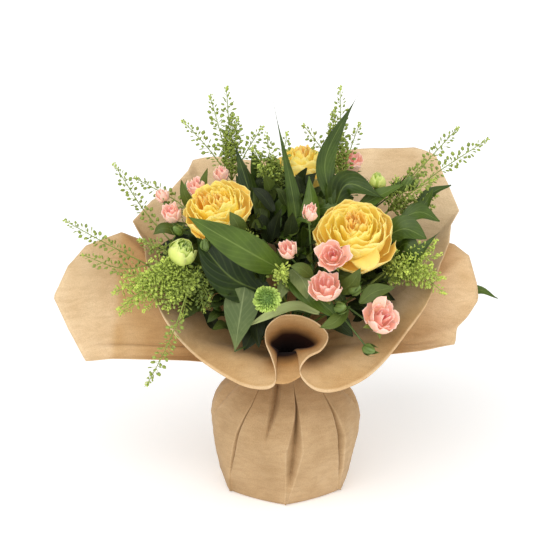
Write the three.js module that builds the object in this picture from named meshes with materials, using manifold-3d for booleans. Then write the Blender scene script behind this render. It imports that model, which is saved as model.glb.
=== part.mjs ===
// Hand-tied mixed bouquet in a kraft paper wrap. It stands on the pouch of its wrap, which holds the stems in
// a bag of water. Millimetres, +Z up, front -Y. The origin is on the floor under the middle of the pouch.
import * as THREE from "three";
import { mergeVertices } from "three/addons/utils/BufferGeometryUtils.js";
import Module from "manifold-3d";

const wasm = await Module();
wasm.setup();

// Driving dimensions
const PAPER = 0.8; // thickness of a sheet
const GAP = 0.35; // clearance between pieces that touch on the real thing
const NECK_Z = 140; // height of the tie
const POUCH_PROFILE = [
  [60, 0.4], [67, 19], [72.4, 60], [69, 84], [58, 102], [39, 120], [23.6, 134.8], [23, NECK_Z],
];
const SHOULDER_Z = 100; // height by which the corners have turned
const GATHER = [112, 134]; // heights between which the pleats become the neck's gathers
const FLOOR_SHARE = 0.8; // share of the base radius that lies flat on the floor
// The six corners of the pouch: azimuth at the floor and at the shoulder, and depth of the long pleat there
const CORNERS = [
  [270, 281, 15], [340, 316, 13], [395, 392, 9], [450, 450, 9], [510, 514, 9], [568, 601, 9],
];
const SHORT_PLEATS = [0, 9, 7, 7, 7, 10]; // depths of the short pleats between the corners
const PLEAT_SHARES = [0, 0.13, 0.25, 0.37, 0.5, 0.63, 0.75, 0.87]; // places between two corners
const PLEAT_HALF = 0.13; // half width of a pleat, as a share of the way between two corners
const NECK_PLEAT = 4; // depth of the gathers at the tie
const FRONT_PLEAT = 1; // the same in front, where the sheet turns outwards at once above the tie
const INNER_NECK = 15.4; // middle radius of the inner sheet at the tie
const INNER_GATHER = 1.1;
const LATE = 1.3; // how far out the sheets' swell lies, 1 for the middle between tie and rim
const STEM_R = 1.3;
const STEM_RINGS = [[1, 0], [7, 4.3], [15, 8.7]]; // stems and radius of each ring of the bundle at the tie
const CORD_R = 1; // half thickness of both ties
const TIE_R = 25.1; // middle radius of the cord round the wrap
const TIE_Z = 137.2;
const TWINE_R = 11.9; // middle radius of the twine round the stems
const BAG_PROFILE = [[0, 1.2], [46, 1.2], [53, 12], [53, 62], [44, 84], [0, 87]];
const FOOT_Z = 9;
const FOOT_R = 2.1;
const SPREAD = 3.5; // the stems' feet stand this much wider apart than at the tie
const SPIRAL = -40; // degrees that the stems turn from the tie to their feet
const BLADE = 0.8; // thickness of petals and leaves
const SMOOTHED = 0.12; // slivers that fusing leaves are closed up within this
const BENDS = [
  [0, 0, 0], [5, 0, 0], [-5, 0, 0], [0, 5, 0], [0, -5, 0], [4, 4, 0], [-4, 4, 0], [4, -4, 0], [-4, -4, 0],
  [9, 0, 0], [-9, 0, 0], [0, 9, 0], [0, -9, 0], [0, 0, 8], [0, 0, -8],
  [9, 9, 4], [-9, 9, 4], [9, -9, 4], [-9, -9, 4],
]; // ways in which a stalk may bend aside
const PETAL_SPIRAL = 0.03; // one side of a petal stands this much further out than its middle
const LEAF_FOLD = 0.28; // rise of a leaf's edges over its midrib, as a share of its half width
const GOLDEN = 137.508; // degrees from one petal or pod to the next
const POD_HALF = 2.4; // half the width of a pennycress pod
const POD_THICK = 1.1;
const POD_STEP = 12; // along the raceme from one pod to the next
const RACEME = 64; // length of branch that carries pods
const PEDICEL = 5.5; // stalk of a pod
const HALF_OPEN = 11.5; // spray flowers smaller than this are still half closed

// Rims of the two sheets: x, y, z from the front middle round by the left
const INNER_RIM = [
  [2, -71, 198], [-7, -72, 195], [-17, -76, 185], [-18, -82, 175], [-13, -90, 165], [-9, -97, 153],
  [-10, -102, 143], [-21, -107, 141], [-41, -108, 146], [-71, -98, 160], [-91, -84, 173], [-110, -62, 191],
  [-124, -35, 209], [-131, -5, 227], [-136, 30, 238], [-148, 55, 250], [-131, 82, 262], [-113, 100, 269],
  [-97, 115, 284], [-93, 135, 290], [-62, 148, 289], [-23, 154, 288], [16, 156, 289], [57, 154, 295],
  [92, 150, 300], [132, 138, 302], [152, 118, 298], [162, 88, 281], [170, 58, 258], [160, 35, 251],
  [156, 10, 241], [145, -20, 231], [135, -48, 213], [121, -68, 196], [102, -86, 173], [76, -100, 151],
  [54, -106, 141], [36, -107, 138], [22, -103, 142], [13, -97, 153], [20, -90, 164], [33, -84, 170],
  [39, -78, 181], [30, -73, 192], [16, -71, 198],
];
const OUTER_RIM = [
  [0, -36, 140], [-40, -36, 138.5], [-80, -32, 139], [-137, -26, 137], [-189, -27, 136], [-206, -17, 163],
  [-220, -4, 193], [-208, 17, 218], [-193, 36, 231], [-160, 60, 237], [-141, 76, 225], [-112, 116, 228],
  [-60, 144, 236], [0, 152, 240], [62, 148, 238], [118, 116, 232], [150, 76, 225], [166, 53, 226],
  [179, 37, 219], [186, 22, 194], [187, 16, 181], [176, 4, 168], [164, -9, 160], [162, -20, 147],
  [137, -26, 146], [100, -30, 143], [45, -36, 138.5],
];

// Plants. Each stem has a slot: its ring in the bundle and its place on that ring.
const PINK = 0xeea39a;
const YELLOW = 0xf6de6c;
const CREAM = 0xe6ebae;
const GREEN = 0x4d7a33;
const DARK = 0x2f5a2a;
const LIME = 0x8fb53c;
const KRAFT = 0xcfa878;

const ROSES = [
  { plant: "rose_right_green", slot: [1, 6], way: [[30, -14, 190]], bloom: "rose_right_petals",
    at: [63, -50, 266], axis: [-0.02, -0.5, 0.86], size: 34 },
  { plant: "rose_left_green", slot: [1, 4], way: [[-34, -14, 200]], bloom: "rose_left_petals",
    at: [-63, -32, 286], axis: [-0.25, -0.5, 0.83], size: 33 },
  { plant: "rose_back_green", slot: [1, 2], way: [[4, 26, 220]], bloom: "rose_back_petals",
    at: [17, 48, 312], axis: [0, 0.2, 1], size: 30 },
];

// Spray roses: stem to the fork, open flowers and closed buds on side stalks
const SPRAYS = [
  { plant: "spray_front_green", slot: [2, 13], fork: [26, -46, 214],
    blooms: [
      { at: [2, -74, 259], axis: [-0.2, -0.5, 0.85], size: 11 },
      { at: [42, -100, 262], axis: [0, -0.6, 0.8], size: 14 },
      { at: [35, -92, 231], axis: [-0.05, -0.55, 0.83], size: 15 },
      { at: [85, -96, 202], axis: [0.4, -0.6, 0.7], size: 17 },
      { at: [22, -56, 289], axis: [0.1, -0.3, 0.95], size: 10 },
    ],
    buds: [[49, -96, 213, 5.5], [62, -88, 227, 4.5], [74, -106, 177, 4.5]] },
  { plant: "spray_left_green", slot: [2, 8], fork: [-74, -12, 256],
    blooms: [
      { at: [-105, -20, 278], axis: [-0.3, -0.4, 0.85], size: 10.5 },
      { at: [-81, -5, 299], axis: [-0.1, -0.3, 0.95], size: 10 },
      { at: [-60, 14, 306], axis: [0, -0.2, 1], size: 9 },
      { at: [-115, 4, 288], axis: [-0.4, -0.1, 0.9], size: 8.5 },
    ],
    buds: [[-98, -40, 268, 5], [-92, 16, 292, 4.5]] },
  { plant: "spray_back_green", slot: [2, 3], fork: [48, 52, 272],
    blooms: [{ at: [63, 62, 307], axis: [0.1, -0.1, 1], size: 13 }],
    buds: [[40, 74, 296, 5], [76, 60, 284, 4.5]] },
];

const LISIANTHUS = [
  { plant: "lisianthus_left_green", slot: [2, 10], fork: [-70, -40, 228],
    blooms: [{ at: [-94, -52, 254], axis: [-0.1, -0.35, 0.93], size: 17, closed: true }],
    buds: [[-72, -66, 262, 5]] },
  { plant: "lisianthus_right_green", slot: [2, 2], fork: [74, 40, 256],
    blooms: [{ at: [89, 48, 291], axis: [0.1, 0, 1], size: 12, closed: true }],
    buds: [[105, 32, 288, 5], [114, 24, 294, 5], [122, 32, 292, 4]] },
];

const PENNYCRESS = [
  { plant: "pennycress_upper_left", slot: [1, 3], fork: [-50, 20, 300],
    tips: [[[-55, 40, 384]], [[-70, 30, 378]], [[-95, 30, 354]], [[-22, 22, 350]]] },
  { plant: "pennycress_top", slot: [2, 5], fork: [-8, 20, 282], tips: [[[2, 25, 344]], [[-24, 2, 318]]] },
  { plant: "pennycress_left", slot: [2, 6], fork: [-107, 0, 245],
    tips: [[[-133, 8, 274], [-160, 16, 316]], [[-93, 8, 274], [-141, 18, 303]],
      [[-118, -10, 240], [-136, -10, 250]]] },
  { plant: "pennycress_far_left", slot: [2, 7], way: [[-90, 2, 212]], fork: [-128, -12, 226],
    tips: [[[-168, -10, 247], [-205, -8, 268]], [[-154, -16, 224], [-189, -18, 238]]] },
  { plant: "pennycress_low_left", slot: [2, 9], way: [[-48, -32, 198]], fork: [-84, -50, 230],
    tips: [[[-118, -60, 225], [-153, -62, 199]], [[-110, -60, 236], [-134, -68, 224]], [[-116, -63, 242]],
      [[-102, -96, 186], [-125, -98, 140]], [[-112, -38, 250], [-134, -30, 256]]] },
  { plant: "pennycress_right", slot: [2, 1], fork: [98, 26, 268],
    tips: [[[163, 35, 347]], [[189, 20, 339]], [[134, 45, 312]], [[138, -8, 308]]] },
  { plant: "pennycress_low_right", slot: [2, 14], way: [[60, -24, 196]], fork: [92, -40, 228],
    tips: [[[122, -54, 230], [145, -66, 216]], [[118, -48, 240], [141, -50, 248]], [[110, -66, 236]]] },
  { plant: "pennycress_front", slot: [2, 12], way: [[3, -36, 190]], fork: [-6, -62, 224],
    tips: [[[-2, -92, 245]], [[-38, -52, 274]]] },
  { plant: "pennycress_back", slot: [1, 1], way: [[34, 26, 230]], fork: [54, 36, 296],
    tips: [[[52, 45, 383]], [[72, 66, 344]], [[18, 70, 342]]] },
];

// Leafy stems: base, middle, tip, width and the way the upper side faces
const FOLIAGE = [
  { plant: "leaves_front", slot: [1, 5], way: [[-4, -34, 198]], end: [-2, -56, 233],
    leaves: [
      [[-4, -58, 235], [-41, -74, 266], [-82, -80, 291], 36, [0.2, -0.9, 0.3]],
      [[-20, -48, 218], [-50, -58, 243], [-80, -62, 266], 27, [0, -0.8, 0.5]],
      [[-24, -54, 220], [-44, -68, 198], [-46, -74, 168], 24, [-0.2, -1, 0.3]],
      [[2, -68, 229], [26, -84, 217], [50, -92, 198], 22, [0, -0.8, 0.5]],
    ] },
  { plant: "leaves_centre", slot: [0, 0], way: [[-2, -4, 200]], end: [-4, -14, 268],
    leaves: [
      [[-2, -24, 258], [0, -16, 312], [-12, 4, 382], 23, [0.3, -1, 0]],
      [[-24, -6, 268], [-38, 0, 304], [-47, 10, 337], 18, [0, -1, 0.2]],
      [[18, -18, 250], [24, -22, 282], [22, -10, 312], 20, [-0.3, -0.9, 0.2]],
    ] },
  { plant: "leaves_upper_right", slot: [1, 0], way: [[26, 0, 216]], end: [42, -2, 282],
    leaves: [
      [[42, -6, 290], [42, 5, 333], [67, 15, 379], 20, [0.2, -1, 0.1]],
      [[48, 0, 286], [63, 5, 318], [86, -4, 290], 24, [0.1, -0.2, 1]],
      [[66, 0, 278], [96, -4, 296], [110, -5, 303], 15, [-0.3, -0.7, 0.7]],
    ] },
  { plant: "leaves_right", slot: [2, 0], way: [[60, -4, 222]], end: [104, 2, 264],
    leaves: [
      [[108, 0, 268], [127, 2, 274], [146, 5, 264], 17, [0, -0.7, 0.7]],
      [[112, 8, 266], [131, 13, 278], [140, 15, 294], 12, [-0.4, -0.9, 0]],
      [[94, -14, 254], [111, -20, 264], [131, -25, 256], 26, [0, -0.7, 0.7]],
      [[82, -36, 236], [112, -50, 248], [141, -44, 268], 18, [0, -0.9, 0.4]],
      [[122, 16, 274], [140, 18, 289], [157, 18, 296], 12, [0, -0.6, 0.8]],
    ] },
  { plant: "leaves_back", slot: [2, 4], way: [[2, 40, 210]], end: [4, 72, 262],
    leaves: [
      [[-6, 78, 262], [-34, 98, 276], [-58, 112, 276], 26, [0, 0.3, 1]],
      [[8, 80, 264], [16, 104, 286], [12, 124, 288], 28, [0, 0.2, 1]],
      [[14, 76, 254], [46, 96, 262], [74, 108, 262], 26, [0, 0.3, 1]],
    ] },
];

// A leaf outside the wrap, held by the tie in a fold of the outer sheet
const STRAY = { plant: "leaf_outside", azimuth: 30, radius: 21.3, way: [[36, 20, 146], [90, 30, 156]],
  base: [150, 36, 168], middle: [184, 40, 180], tip: [210, 38, 177], width: 9, face: [0, -0.6, 0.8] };

const BUTTON = { plant: "button_stem", node: "button_flower", slot: [2, 11], way: [[-8, -52, 190]],
  at: [-16.5, -96, 221], axis: [-0.1, -0.75, 0.65], size: 13 };

const COLOURS = [
  [/^wrap_.*sheet/, KRAFT], [/^wrap_tie|twine/, 0x8a6a3c], [/^rose.*petals/, YELLOW], [/^spray.*flower/, PINK],
  [/^lisi.*flower/, CREAM], [/^button_flower/, LIME], [/^pennycress/, 0x8fae5a], [/^leaves|^leaf/, DARK],
  [/^water/, 0xbfd8dc], [/./, GREEN],
];

const RAD = Math.PI / 180;
const vec = (x, y, z) => new THREE.Vector3(x, y, z);
const mix = (a, b, t) => a + (b - a) * t;
const smooth = (a, b, x) => THREE.MathUtils.smoothstep(x, a, b);

// Solids

function solidOf(geometry) {
  const bare = geometry.clone();
  bare.deleteAttribute("normal");
  bare.deleteAttribute("uv");
  const merged = mergeVertices(bare, 1e-4);
  const whole = [];
  const index = merged.index.array;
  for (let i = 0; i < index.length; i += 3) {
    const [a, b, c] = [index[i], index[i + 1], index[i + 2]];
    if (a !== b && b !== c && c !== a) whole.push(a, b, c);
  }
  const vertProperties = merged.attributes.position.array;
  return new wasm.Manifold(new wasm.Mesh({ numProp: 3, vertProperties, triVerts: new Uint32Array(whole) }));
}

const join = (solids) => solids.reduce((all, one) => all.add(one));

// The largest body of a solid: what fusing seals is filled, and loose scraps are dropped.
function oneBody(solid) {
  const bodies = solid.decompose();
  return bodies.reduce((best, body) => (body.volume() > best.volume() ? body : best));
}

function geometryOf(solid) {
  const mesh = solid.getMesh();
  const geometry = new THREE.BufferGeometry();
  geometry.setAttribute("position", new THREE.BufferAttribute(mesh.vertProperties, 3));
  geometry.setIndex(new THREE.BufferAttribute(mesh.triVerts, 1));
  geometry.computeVertexNormals();
  return geometry;
}

// A thin blade: surface(u, v) gives its middle, u across from -1 to 1 and v along from 0 to 1.
function blade(surface, across, along, thickness) {
  const grid = new THREE.PlaneGeometry(2, 1, across, along);
  const place = grid.attributes.position;
  const count = place.count;
  const points = new Float32Array(count * 6);
  for (let i = 0; i < count; i++) {
    const [u, v] = [place.getX(i), 0.5 + place.getY(i)];
    const middle = surface(u, v);
    const acrossway = surface(u + 0.01, v).sub(surface(u - 0.01, v));
    const alongway = surface(u, v + 0.01).sub(surface(u, v - 0.01));
    const out = acrossway.cross(alongway).normalize().multiplyScalar(thickness / 2);
    middle.clone().add(out).toArray(points, i * 3);
    middle.clone().sub(out).toArray(points, (count + i) * 3);
  }
  const index = [...grid.index.array];
  for (let i = 0; i < grid.index.count; i += 3) {
    const [a, b, c] = [0, 1, 2].map((k) => grid.index.array[i + k] + count);
    index.push(a, c, b);
  }
  const wide = across + 1;
  const edge = [];
  for (let i = 0; i < across; i++) edge.push(along * wide + i);
  for (let j = along; j > 0; j--) edge.push(j * wide + across);
  for (let i = across; i > 0; i--) edge.push(i);
  for (let j = 0; j < along; j++) edge.push(j * wide);
  edge.forEach((a, k) => {
    const b = edge[(k + 1) % edge.length];
    index.push(b, a, a + count, b, a + count, b + count);
  });
  const geometry = new THREE.BufferGeometry();
  geometry.setAttribute("position", new THREE.BufferAttribute(points, 3));
  geometry.setIndex(index);
  return solidOf(geometry);
}

// A stalk through the points themselves, from rootRadius to tipRadius.
function tube(points, rootRadius, tipRadius, sides) {
  const verts = [];
  const last = points.length - 1;
  let side = vec(0.83, 0.55, 0.1);
  points.forEach((point, i) => {
    const along = points[Math.min(i + 1, last)].clone().sub(points[Math.max(i - 1, 0)]).normalize();
    side = side.clone().addScaledVector(along, -side.dot(along)).normalize();
    const other = along.clone().cross(side);
    const radius = mix(rootRadius, tipRadius, i / last);
    for (let k = 0; k < sides; k++) {
      const turn = (2 * Math.PI * k) / sides;
      const corner = point.clone().addScaledVector(side, radius * Math.cos(turn));
      verts.push(...corner.addScaledVector(other, radius * Math.sin(turn)).toArray());
    }
  });
  const index = [];
  for (let i = 0; i < last; i++) {
    for (let k = 0; k < sides; k++) {
      const [a, b] = [i * sides + k, i * sides + ((k + 1) % sides)];
      index.push(a, b, b + sides, a, b + sides, a + sides);
    }
  }
  const top = last * sides;
  for (let k = 1; k < sides - 1; k++) index.push(0, k + 1, k, top, top + k, top + k + 1);
  const geometry = new THREE.BufferGeometry();
  geometry.setAttribute("position", new THREE.Float32BufferAttribute(verts, 3));
  geometry.setIndex(index);
  return solidOf(geometry);
}

// A leaf whose spine runs over base, middle and tip; face is where its upper side looks.
function leafBlade(base, middle, tip, width, face, along) {
  const control = middle.clone().multiplyScalar(2).sub(base.clone().add(tip).multiplyScalar(0.5));
  const spine = new THREE.QuadraticBezierCurve3(base, control, tip);
  return blade((u, v) => {
    const point = spine.getPoint(v);
    const along = spine.getTangent(v);
    const side = along.clone().cross(face).normalize();
    const up = side.clone().cross(along);
    const half = (width / 2) * Math.max(Math.sin(Math.PI * Math.min(1, 0.05 + 0.95 * v) ** 0.85), 0.08);
    return point.addScaledVector(side, -u * half).addScaledVector(up, LEAF_FOLD * Math.abs(u) * half);
  }, 2, along, BLADE);
}

// A closed sheet of paper through rings of middle points, foot first. A capped one starts at a pole.
function sleeve(rings, thickness, capped) {
  const around = rings[0].length;
  const at = (row, j) => rings[row][(j + around) % around];
  const [outer, inner] = [[], []];
  rings.forEach((ring, row) => {
    ring.forEach((point, j) => {
      const low = at(Math.max(row - 1, 0), j);
      const high = at(Math.min(row + 1, rings.length - 1), j);
      const round = at(row, j + 1).clone().sub(at(row, j - 1));
      const out = capped && row < 2 ? vec(0, 0, -1) : round.cross(high.clone().sub(low)).normalize();
      outer.push(point.clone().addScaledVector(out, thickness / 2));
      inner.push(point.clone().addScaledVector(out, -thickness / 2));
    });
  });
  const index = [];
  const quad = (a, b, c, d) => index.push(a, b, c, a, c, d);
  const back = outer.length;
  const top = (rings.length - 1) * around;
  for (let j = 0; j < around; j++) {
    const next = (j + 1) % around;
    for (let row = 0; row < rings.length - 1; row++) {
      const [a, b] = [row * around + j, row * around + next];
      quad(a, b, b + around, a + around);
      quad(back + a, back + a + around, back + b + around, back + b);
    }
    quad(top + j, top + next, back + top + next, back + top + j);
    if (!capped) quad(next, j, back + j, back + next);
  }
  const geometry = new THREE.BufferGeometry();
  const points = [...outer, ...inner].flatMap((p) => p.toArray());
  geometry.setAttribute("position", new THREE.Float32BufferAttribute(points, 3));
  geometry.setIndex(index);
  return solidOf(geometry);
}

// Paper wrap

const spots = CORNERS.flatMap((here, k) => {
  const next = CORNERS[k + 1] ?? CORNERS[0].map((value, i) => (i < 2 ? value + 360 : value));
  return PLEAT_SHARES.map((share) => ({ here, next, share, short: SHORT_PLEATS[k] }));
});

// Azimuth of a spot: the corners turn a little from the floor to the shoulder.
function azimuthOf({ here, next, share }, z) {
  const rise = Math.min(1, z / SHOULDER_Z) ** 0.7;
  return mix(mix(here[0], here[1], rise), mix(next[0], next[1], rise), share);
}

// Radius of the pouch at a spot where its plain profile has radius r at height z.
function pleated(r, z, spot) {
  const { here, next, share, short } = spot;
  const corner = Math.max(0, 1 - Math.min(share, 1 - share) / PLEAT_HALF);
  const middle = Math.max(0, 1 - Math.abs(share - 0.5) / PLEAT_HALF);
  const neck = smooth(...GATHER, z);
  const depth = share < 0.5 ? here[2] : next[2];
  const aside = Math.abs(((azimuthOf(spot, z) - 90) % 360) - 180);
  const gather = mix(FRONT_PLEAT, NECK_PLEAT, smooth(50, 90, aside));
  const long = mix(depth * smooth(0, 40, z), gather, neck);
  const brief = mix(short * smooth(66, 100, z), gather, neck);
  const flat = 0.12 * (1 - smooth(0, 75, z)) * (1 - Math.abs(1 - 2 * share));
  return r * (1 - flat) - long * corner - brief * middle;
}

function ringAt(r, z) {
  return spots.map((spot) => {
    const [radius, turn] = [pleated(r, z, spot), azimuthOf(spot, z) * RAD];
    return vec(radius * Math.cos(turn), radius * Math.sin(turn), z);
  });
}

function flare(from, to, t, lift) {
  return from.clone().lerp(to, t).add(vec(0, 0, lift * Math.sin(Math.PI * t ** LATE)));
}

function outerSheet() {
  const [baseR, baseZ] = POUCH_PROFILE[0];
  const rings = [spots.map(() => vec(0, 0, baseZ)), ringAt(baseR * FLOOR_SHARE, baseZ)];
  for (const [r, z] of POUCH_PROFILE) rings.push(ringAt(r, z));
  const neck = rings[rings.length - 1];
  const rim = new THREE.CatmullRomCurve3(OUTER_RIM.map((p) => vec(...p)), true, "catmullrom", 0.5);
  for (const t of [0.2, 0.58, 1]) {
    rings.push(neck.map((from, j) => {
      const to = rim.getPointAt((2 - (azimuthOf(spots[j], NECK_Z) - CORNERS[0][0]) / 360) % 1);
      return flare(from, to, t, to.z > 150 ? -6 : 0);
    }));
  }
  return sleeve(rings, PAPER, true);
}

function innerSheet() {
  const rim = INNER_RIM.map((p) => vec(...p)).reverse();
  const lengths = rim.map((p, j) => p.distanceTo(rim[(j + 1) % rim.length]));
  const whole = lengths.reduce((a, b) => a + b);
  let run = 0;
  const neck = rim.map((p, j) => {
    const azimuth = 270 + (360 * run) / whole;
    run += lengths[j];
    const r = INNER_NECK + INNER_GATHER * (j % 2 ? 1 : -1);
    return vec(r * Math.cos(azimuth * RAD), r * Math.sin(azimuth * RAD), NECK_Z);
  });
  const foot = neck.map((p) => vec(p.x * 1.04, p.y * 1.04, NECK_Z - 12));
  const rings = [foot, neck];
  for (const t of [0.15, 0.4, 0.7, 1]) {
    rings.push(neck.map((from, j) => {
      const front = smooth(-10, 90, -rim[j].y) * (1 - smooth(145, 195, rim[j].z));
      return flare(from, rim[j], t, mix(-7, 12, front));
    }));
  }
  return sleeve(rings, PAPER, false);
}

// Placing: what comes later gives way to what is there, or bends round it

const placed = [];
const reserved = [];
const nodes = new Map();

function fatten(solid) {
  const geometry = geometryOf(solid);
  const { position, normal } = geometry.attributes;
  for (let i = 0; i < position.count; i++) {
    const [x, y, z] = [normal.getX(i), normal.getY(i), normal.getZ(i)];
    position.setXYZ(i, position.getX(i) + x * GAP, position.getY(i) + y * GAP, position.getZ(i) + z * GAP);
  }
  return solidOf(geometry);
}

function meets(a, b) {
  return [0, 1, 2].every((k) => a.min[k] < b.max[k] && b.min[k] < a.max[k]);
}

function keep(plant, node, solid) {
  const fat = fatten(solid);
  placed.push({ plant, node, solid, fat, box: fat.boundingBox() });
  if (!nodes.has(node)) nodes.set(node, []);
  nodes.get(node).push(solid);
}

// Adds a petal, leaf or pod, cut back where it would touch another piece.
function put(plant, node, solid) {
  const box = solid.boundingBox();
  let kept = solid;
  for (const other of placed) {
    if (other.node !== node && meets(box, other.box)) kept = kept.subtract(other.fat);
  }
  if (kept.isEmpty()) return;
  keep(plant, node, oneBody(kept));
}

const isFree = (plant, solid) => {
  const box = solid.boundingBox();
  return [...placed, ...reserved].every(
    (other) => other.plant === plant || !meets(box, other.box) || solid.intersect(other.fat).isEmpty(),
  );
};

// Adds a stalk, bent by one of the BENDS so that it misses everything. Gives back the points of its middle.
function thread(plant, node, pointsFor, rootRadius, tipRadius, sides) {
  for (const bend of BENDS) {
    const way = pointsFor(vec(...bend));
    const solid = tube(way, rootRadius, tipRadius, sides);
    if (isFree(plant, solid)) {
      keep(plant, node, solid);
      return way;
    }
  }
  throw new Error(`no way through for ${node}`);
}

function reserve(plant, centre, radius) {
  const fat = solidOf(new THREE.SphereGeometry(radius, 8, 6)).translate(centre.toArray());
  reserved.push({ plant, fat, box: fat.boundingBox() });
}

function slotAt([ring, place]) {
  const [count, radius] = STEM_RINGS[ring];
  const turn = (2 * Math.PI * place) / count;
  return vec(radius * Math.cos(turn), radius * Math.sin(turn), NECK_Z);
}

// A cut stem: its foot in the water, its place at the tie, then the way up to its end.
function stem(plant, node, slot, way) {
  const neck = slotAt(slot);
  const foot = neck.clone().multiplyScalar(SPREAD).applyAxisAngle(vec(0, 0, 1), SPIRAL * RAD).setZ(FOOT_Z);
  const above = vec(neck.x * 1.3, neck.y * 1.3, NECK_Z + 14);
  const end = way[way.length - 1];
  return thread(plant, node, (bend) => {
    const mids = way.length > 1 ? way.slice(0, -1) : [above.clone().lerp(end, 0.5).add(vec(0, 0, 7))];
    const points = [above, ...mids.map((p) => p.clone().add(bend)), end];
    const curve = new THREE.CatmullRomCurve3(points, false, "catmullrom", 0.5);
    return [foot, neck, ...curve.getPoints(3)];
  }, STEM_R + 0.15, STEM_R - 0.15, 4);
}

function branch(plant, node, way, rootRadius, tipRadius) {
  const [start, end] = [way[0], way[way.length - 1]];
  return thread(plant, node, (bend) => {
    const mids = way.length > 2 ? way.slice(1, -1) : [start.clone().lerp(end, 0.5).add(vec(0, 0, 3))];
    const points = [start, ...mids.map((p) => p.clone().addScaledVector(bend, 0.6)), end];
    return new THREE.CatmullRomCurve3(points, false, "catmullrom", 0.5).getPoints(3);
  }, rootRadius, tipRadius, 3);
}

// Flowers: made with the axis up and the foot of the petals at the origin, then turned and moved

function posed(solid, at, axis) {
  const turn = new THREE.Quaternion().setFromUnitVectors(vec(0, 0, 1), axis);
  const pose = new THREE.Matrix4().compose(at, turn, vec(1, 1, 1));
  return solid.transform(pose.elements);
}

// One petal of a rose of radius size: order runs from 0 at the heart to 1 outside.
function petal(size, order, azimuth, half, foot, across, along) {
  const belly = size * (0.2 + 1.02 * order);
  const [lip, top] = [size * (0.16 + 0.9 * order), size * (1.26 - 0.3 * order * order)];
  return blade((u, v) => {
    const t = v * (1 - 0.16 * u * u * v);
    const curl = size * 0.25 * order * Math.max(0, t - 0.7);
    const r = (1 - t) ** 2 * foot * size + 2 * t * (1 - t) * belly + t * t * lip + curl;
    const z = 2 * t * (1 - t) * 0.1 * top + t * t * top - curl * 0.4;
    const turn = azimuth * RAD + u * half * RAD * (0.5 + 0.5 * Math.sin(Math.PI * Math.min(0.5, v)));
    const radius = r * (1 + PETAL_SPIRAL * u);
    return vec(radius * Math.cos(turn), radius * Math.sin(turn), z);
  }, across, along, BLADE);
}

function rose(size, petals, across, along) {
  const heart = new THREE.SphereGeometry(size, 8, 4).scale(0.42, 0.42, 0.3).translate(0, 0, size * 0.2);
  const solids = [solidOf(heart)];
  for (let i = 0; i < petals; i++) {
    const order = Math.sqrt(i / (petals - 1));
    solids.push(petal(size, order, i * GOLDEN, mix(88, 58, order), 0.06 + 0.3 * order, across, along));
  }
  return oneBody(join(solids));
}

// A small flower: five petals round a bud.
function sprayFlower(size) {
  const bud = new THREE.SphereGeometry(size, 5, 3).scale(0.56, 0.62, 0.56).rotateX(Math.PI / 2);
  bud.translate(0, 0, size * 0.42);
  const petals = [0, 1, 2, 3, 4].map((i) => petal(size, 1 - 0.1 * (i % 2), i * 72, 31, 0.32, 2, 1));
  return oneBody(join([solidOf(bud), ...petals]));
}

// A flower that is still half closed: one ruffled bud.
function halfOpen(size) {
  const bud = new THREE.SphereGeometry(size, 10, 4).rotateX(Math.PI / 2).translate(0, 0, size * 0.6);
  const place = bud.attributes.position;
  for (let i = 0; i < place.count; i++) {
    const turn = Math.atan2(place.getY(i), place.getX(i));
    const ruffle = 0.84 + 0.13 * Math.cos(turn * 5);
    place.setXY(i, place.getX(i) * ruffle, place.getY(i) * ruffle);
  }
  return solidOf(bud);
}

// The green cup under a flower with its five sepals, as one star.
function calyx(size) {
  const star = new THREE.SphereGeometry(1, 10, 2);
  const place = star.attributes.position;
  for (let i = 0; i < place.count; i++) {
    const [x, y, z] = [place.getX(i), place.getZ(i), place.getY(i)];
    const sepal = Math.round((Math.atan2(y, x) / Math.PI) * 5) % 2 === 0;
    const r = size * (sepal ? 0.8 : 0.26);
    const height = Math.abs(z) < 0.5 ? -0.2 : Math.sign(z) * 0.2 - 0.22;
    place.setXYZ(i, x * r, -y * r, height * size);
  }
  return solidOf(star);
}

function bloomAt(plant, { node, at, axis, size, make }) {
  const [centre, way] = [vec(...at), vec(...axis).normalize()];
  const base = centre.clone().addScaledVector(way, -0.55 * size);
  put(plant, plant, posed(calyx(size * 0.9), base.clone().addScaledVector(way, -0.5), way));
  put(plant, node, posed(make(size), base, way));
}

const footOf = ({ at, axis, size }) => {
  return vec(...at).addScaledVector(vec(...axis).normalize(), -0.8 * size);
};

// A flat pod with its lower corner drawn out into its stalk.
function podOn(root, way, reach) {
  const side = vec(0.2, 0.3, 1).cross(way).normalize().multiplyScalar(POD_HALF);
  const lift = way.clone().cross(side).normalize().multiplyScalar(POD_THICK);
  const middle = root.clone().addScaledVector(way, reach).add(lift);
  const tip = root.clone().addScaledVector(way, reach + POD_HALF);
  const corners = [root, tip, middle.clone().add(side), middle.sub(side)];
  const pod = new THREE.BufferGeometry();
  pod.setAttribute("position", new THREE.Float32BufferAttribute(corners.flatMap((p) => p.toArray()), 3));
  pod.setIndex([0, 2, 1, 0, 1, 3, 0, 3, 2, 1, 2, 3]);
  return solidOf(pod);
}

// A pennycress raceme: flat pods on short stalks all round the outer part of its branch.
function raceme(plant, way) {
  const curve = new THREE.CurvePath();
  way.slice(1).forEach((point, i) => curve.add(new THREE.LineCurve3(way[i], point)));
  const length = curve.getLength();
  const count = Math.floor(Math.min(length, RACEME) / POD_STEP);
  for (let i = 0; i < count; i++) {
    const share = 1 - ((i + 0.3) * POD_STEP) / length;
    const root = curve.getPointAt(share);
    const along = curve.getTangentAt(share);
    const side = vec(0.3, 0.2, 1).cross(along).normalize().applyAxisAngle(along, i * GOLDEN * RAD);
    const out = side.multiplyScalar(0.85).addScaledVector(along, 0.5).normalize();
    const pod = podOn(root, out, PEDICEL * mix(0.7, 1.15, i / count));
    if (isFree(plant, pod)) keep(plant, plant, pod);
  }
}

const points = (rows) => rows.map((p) => vec(...p));

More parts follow.
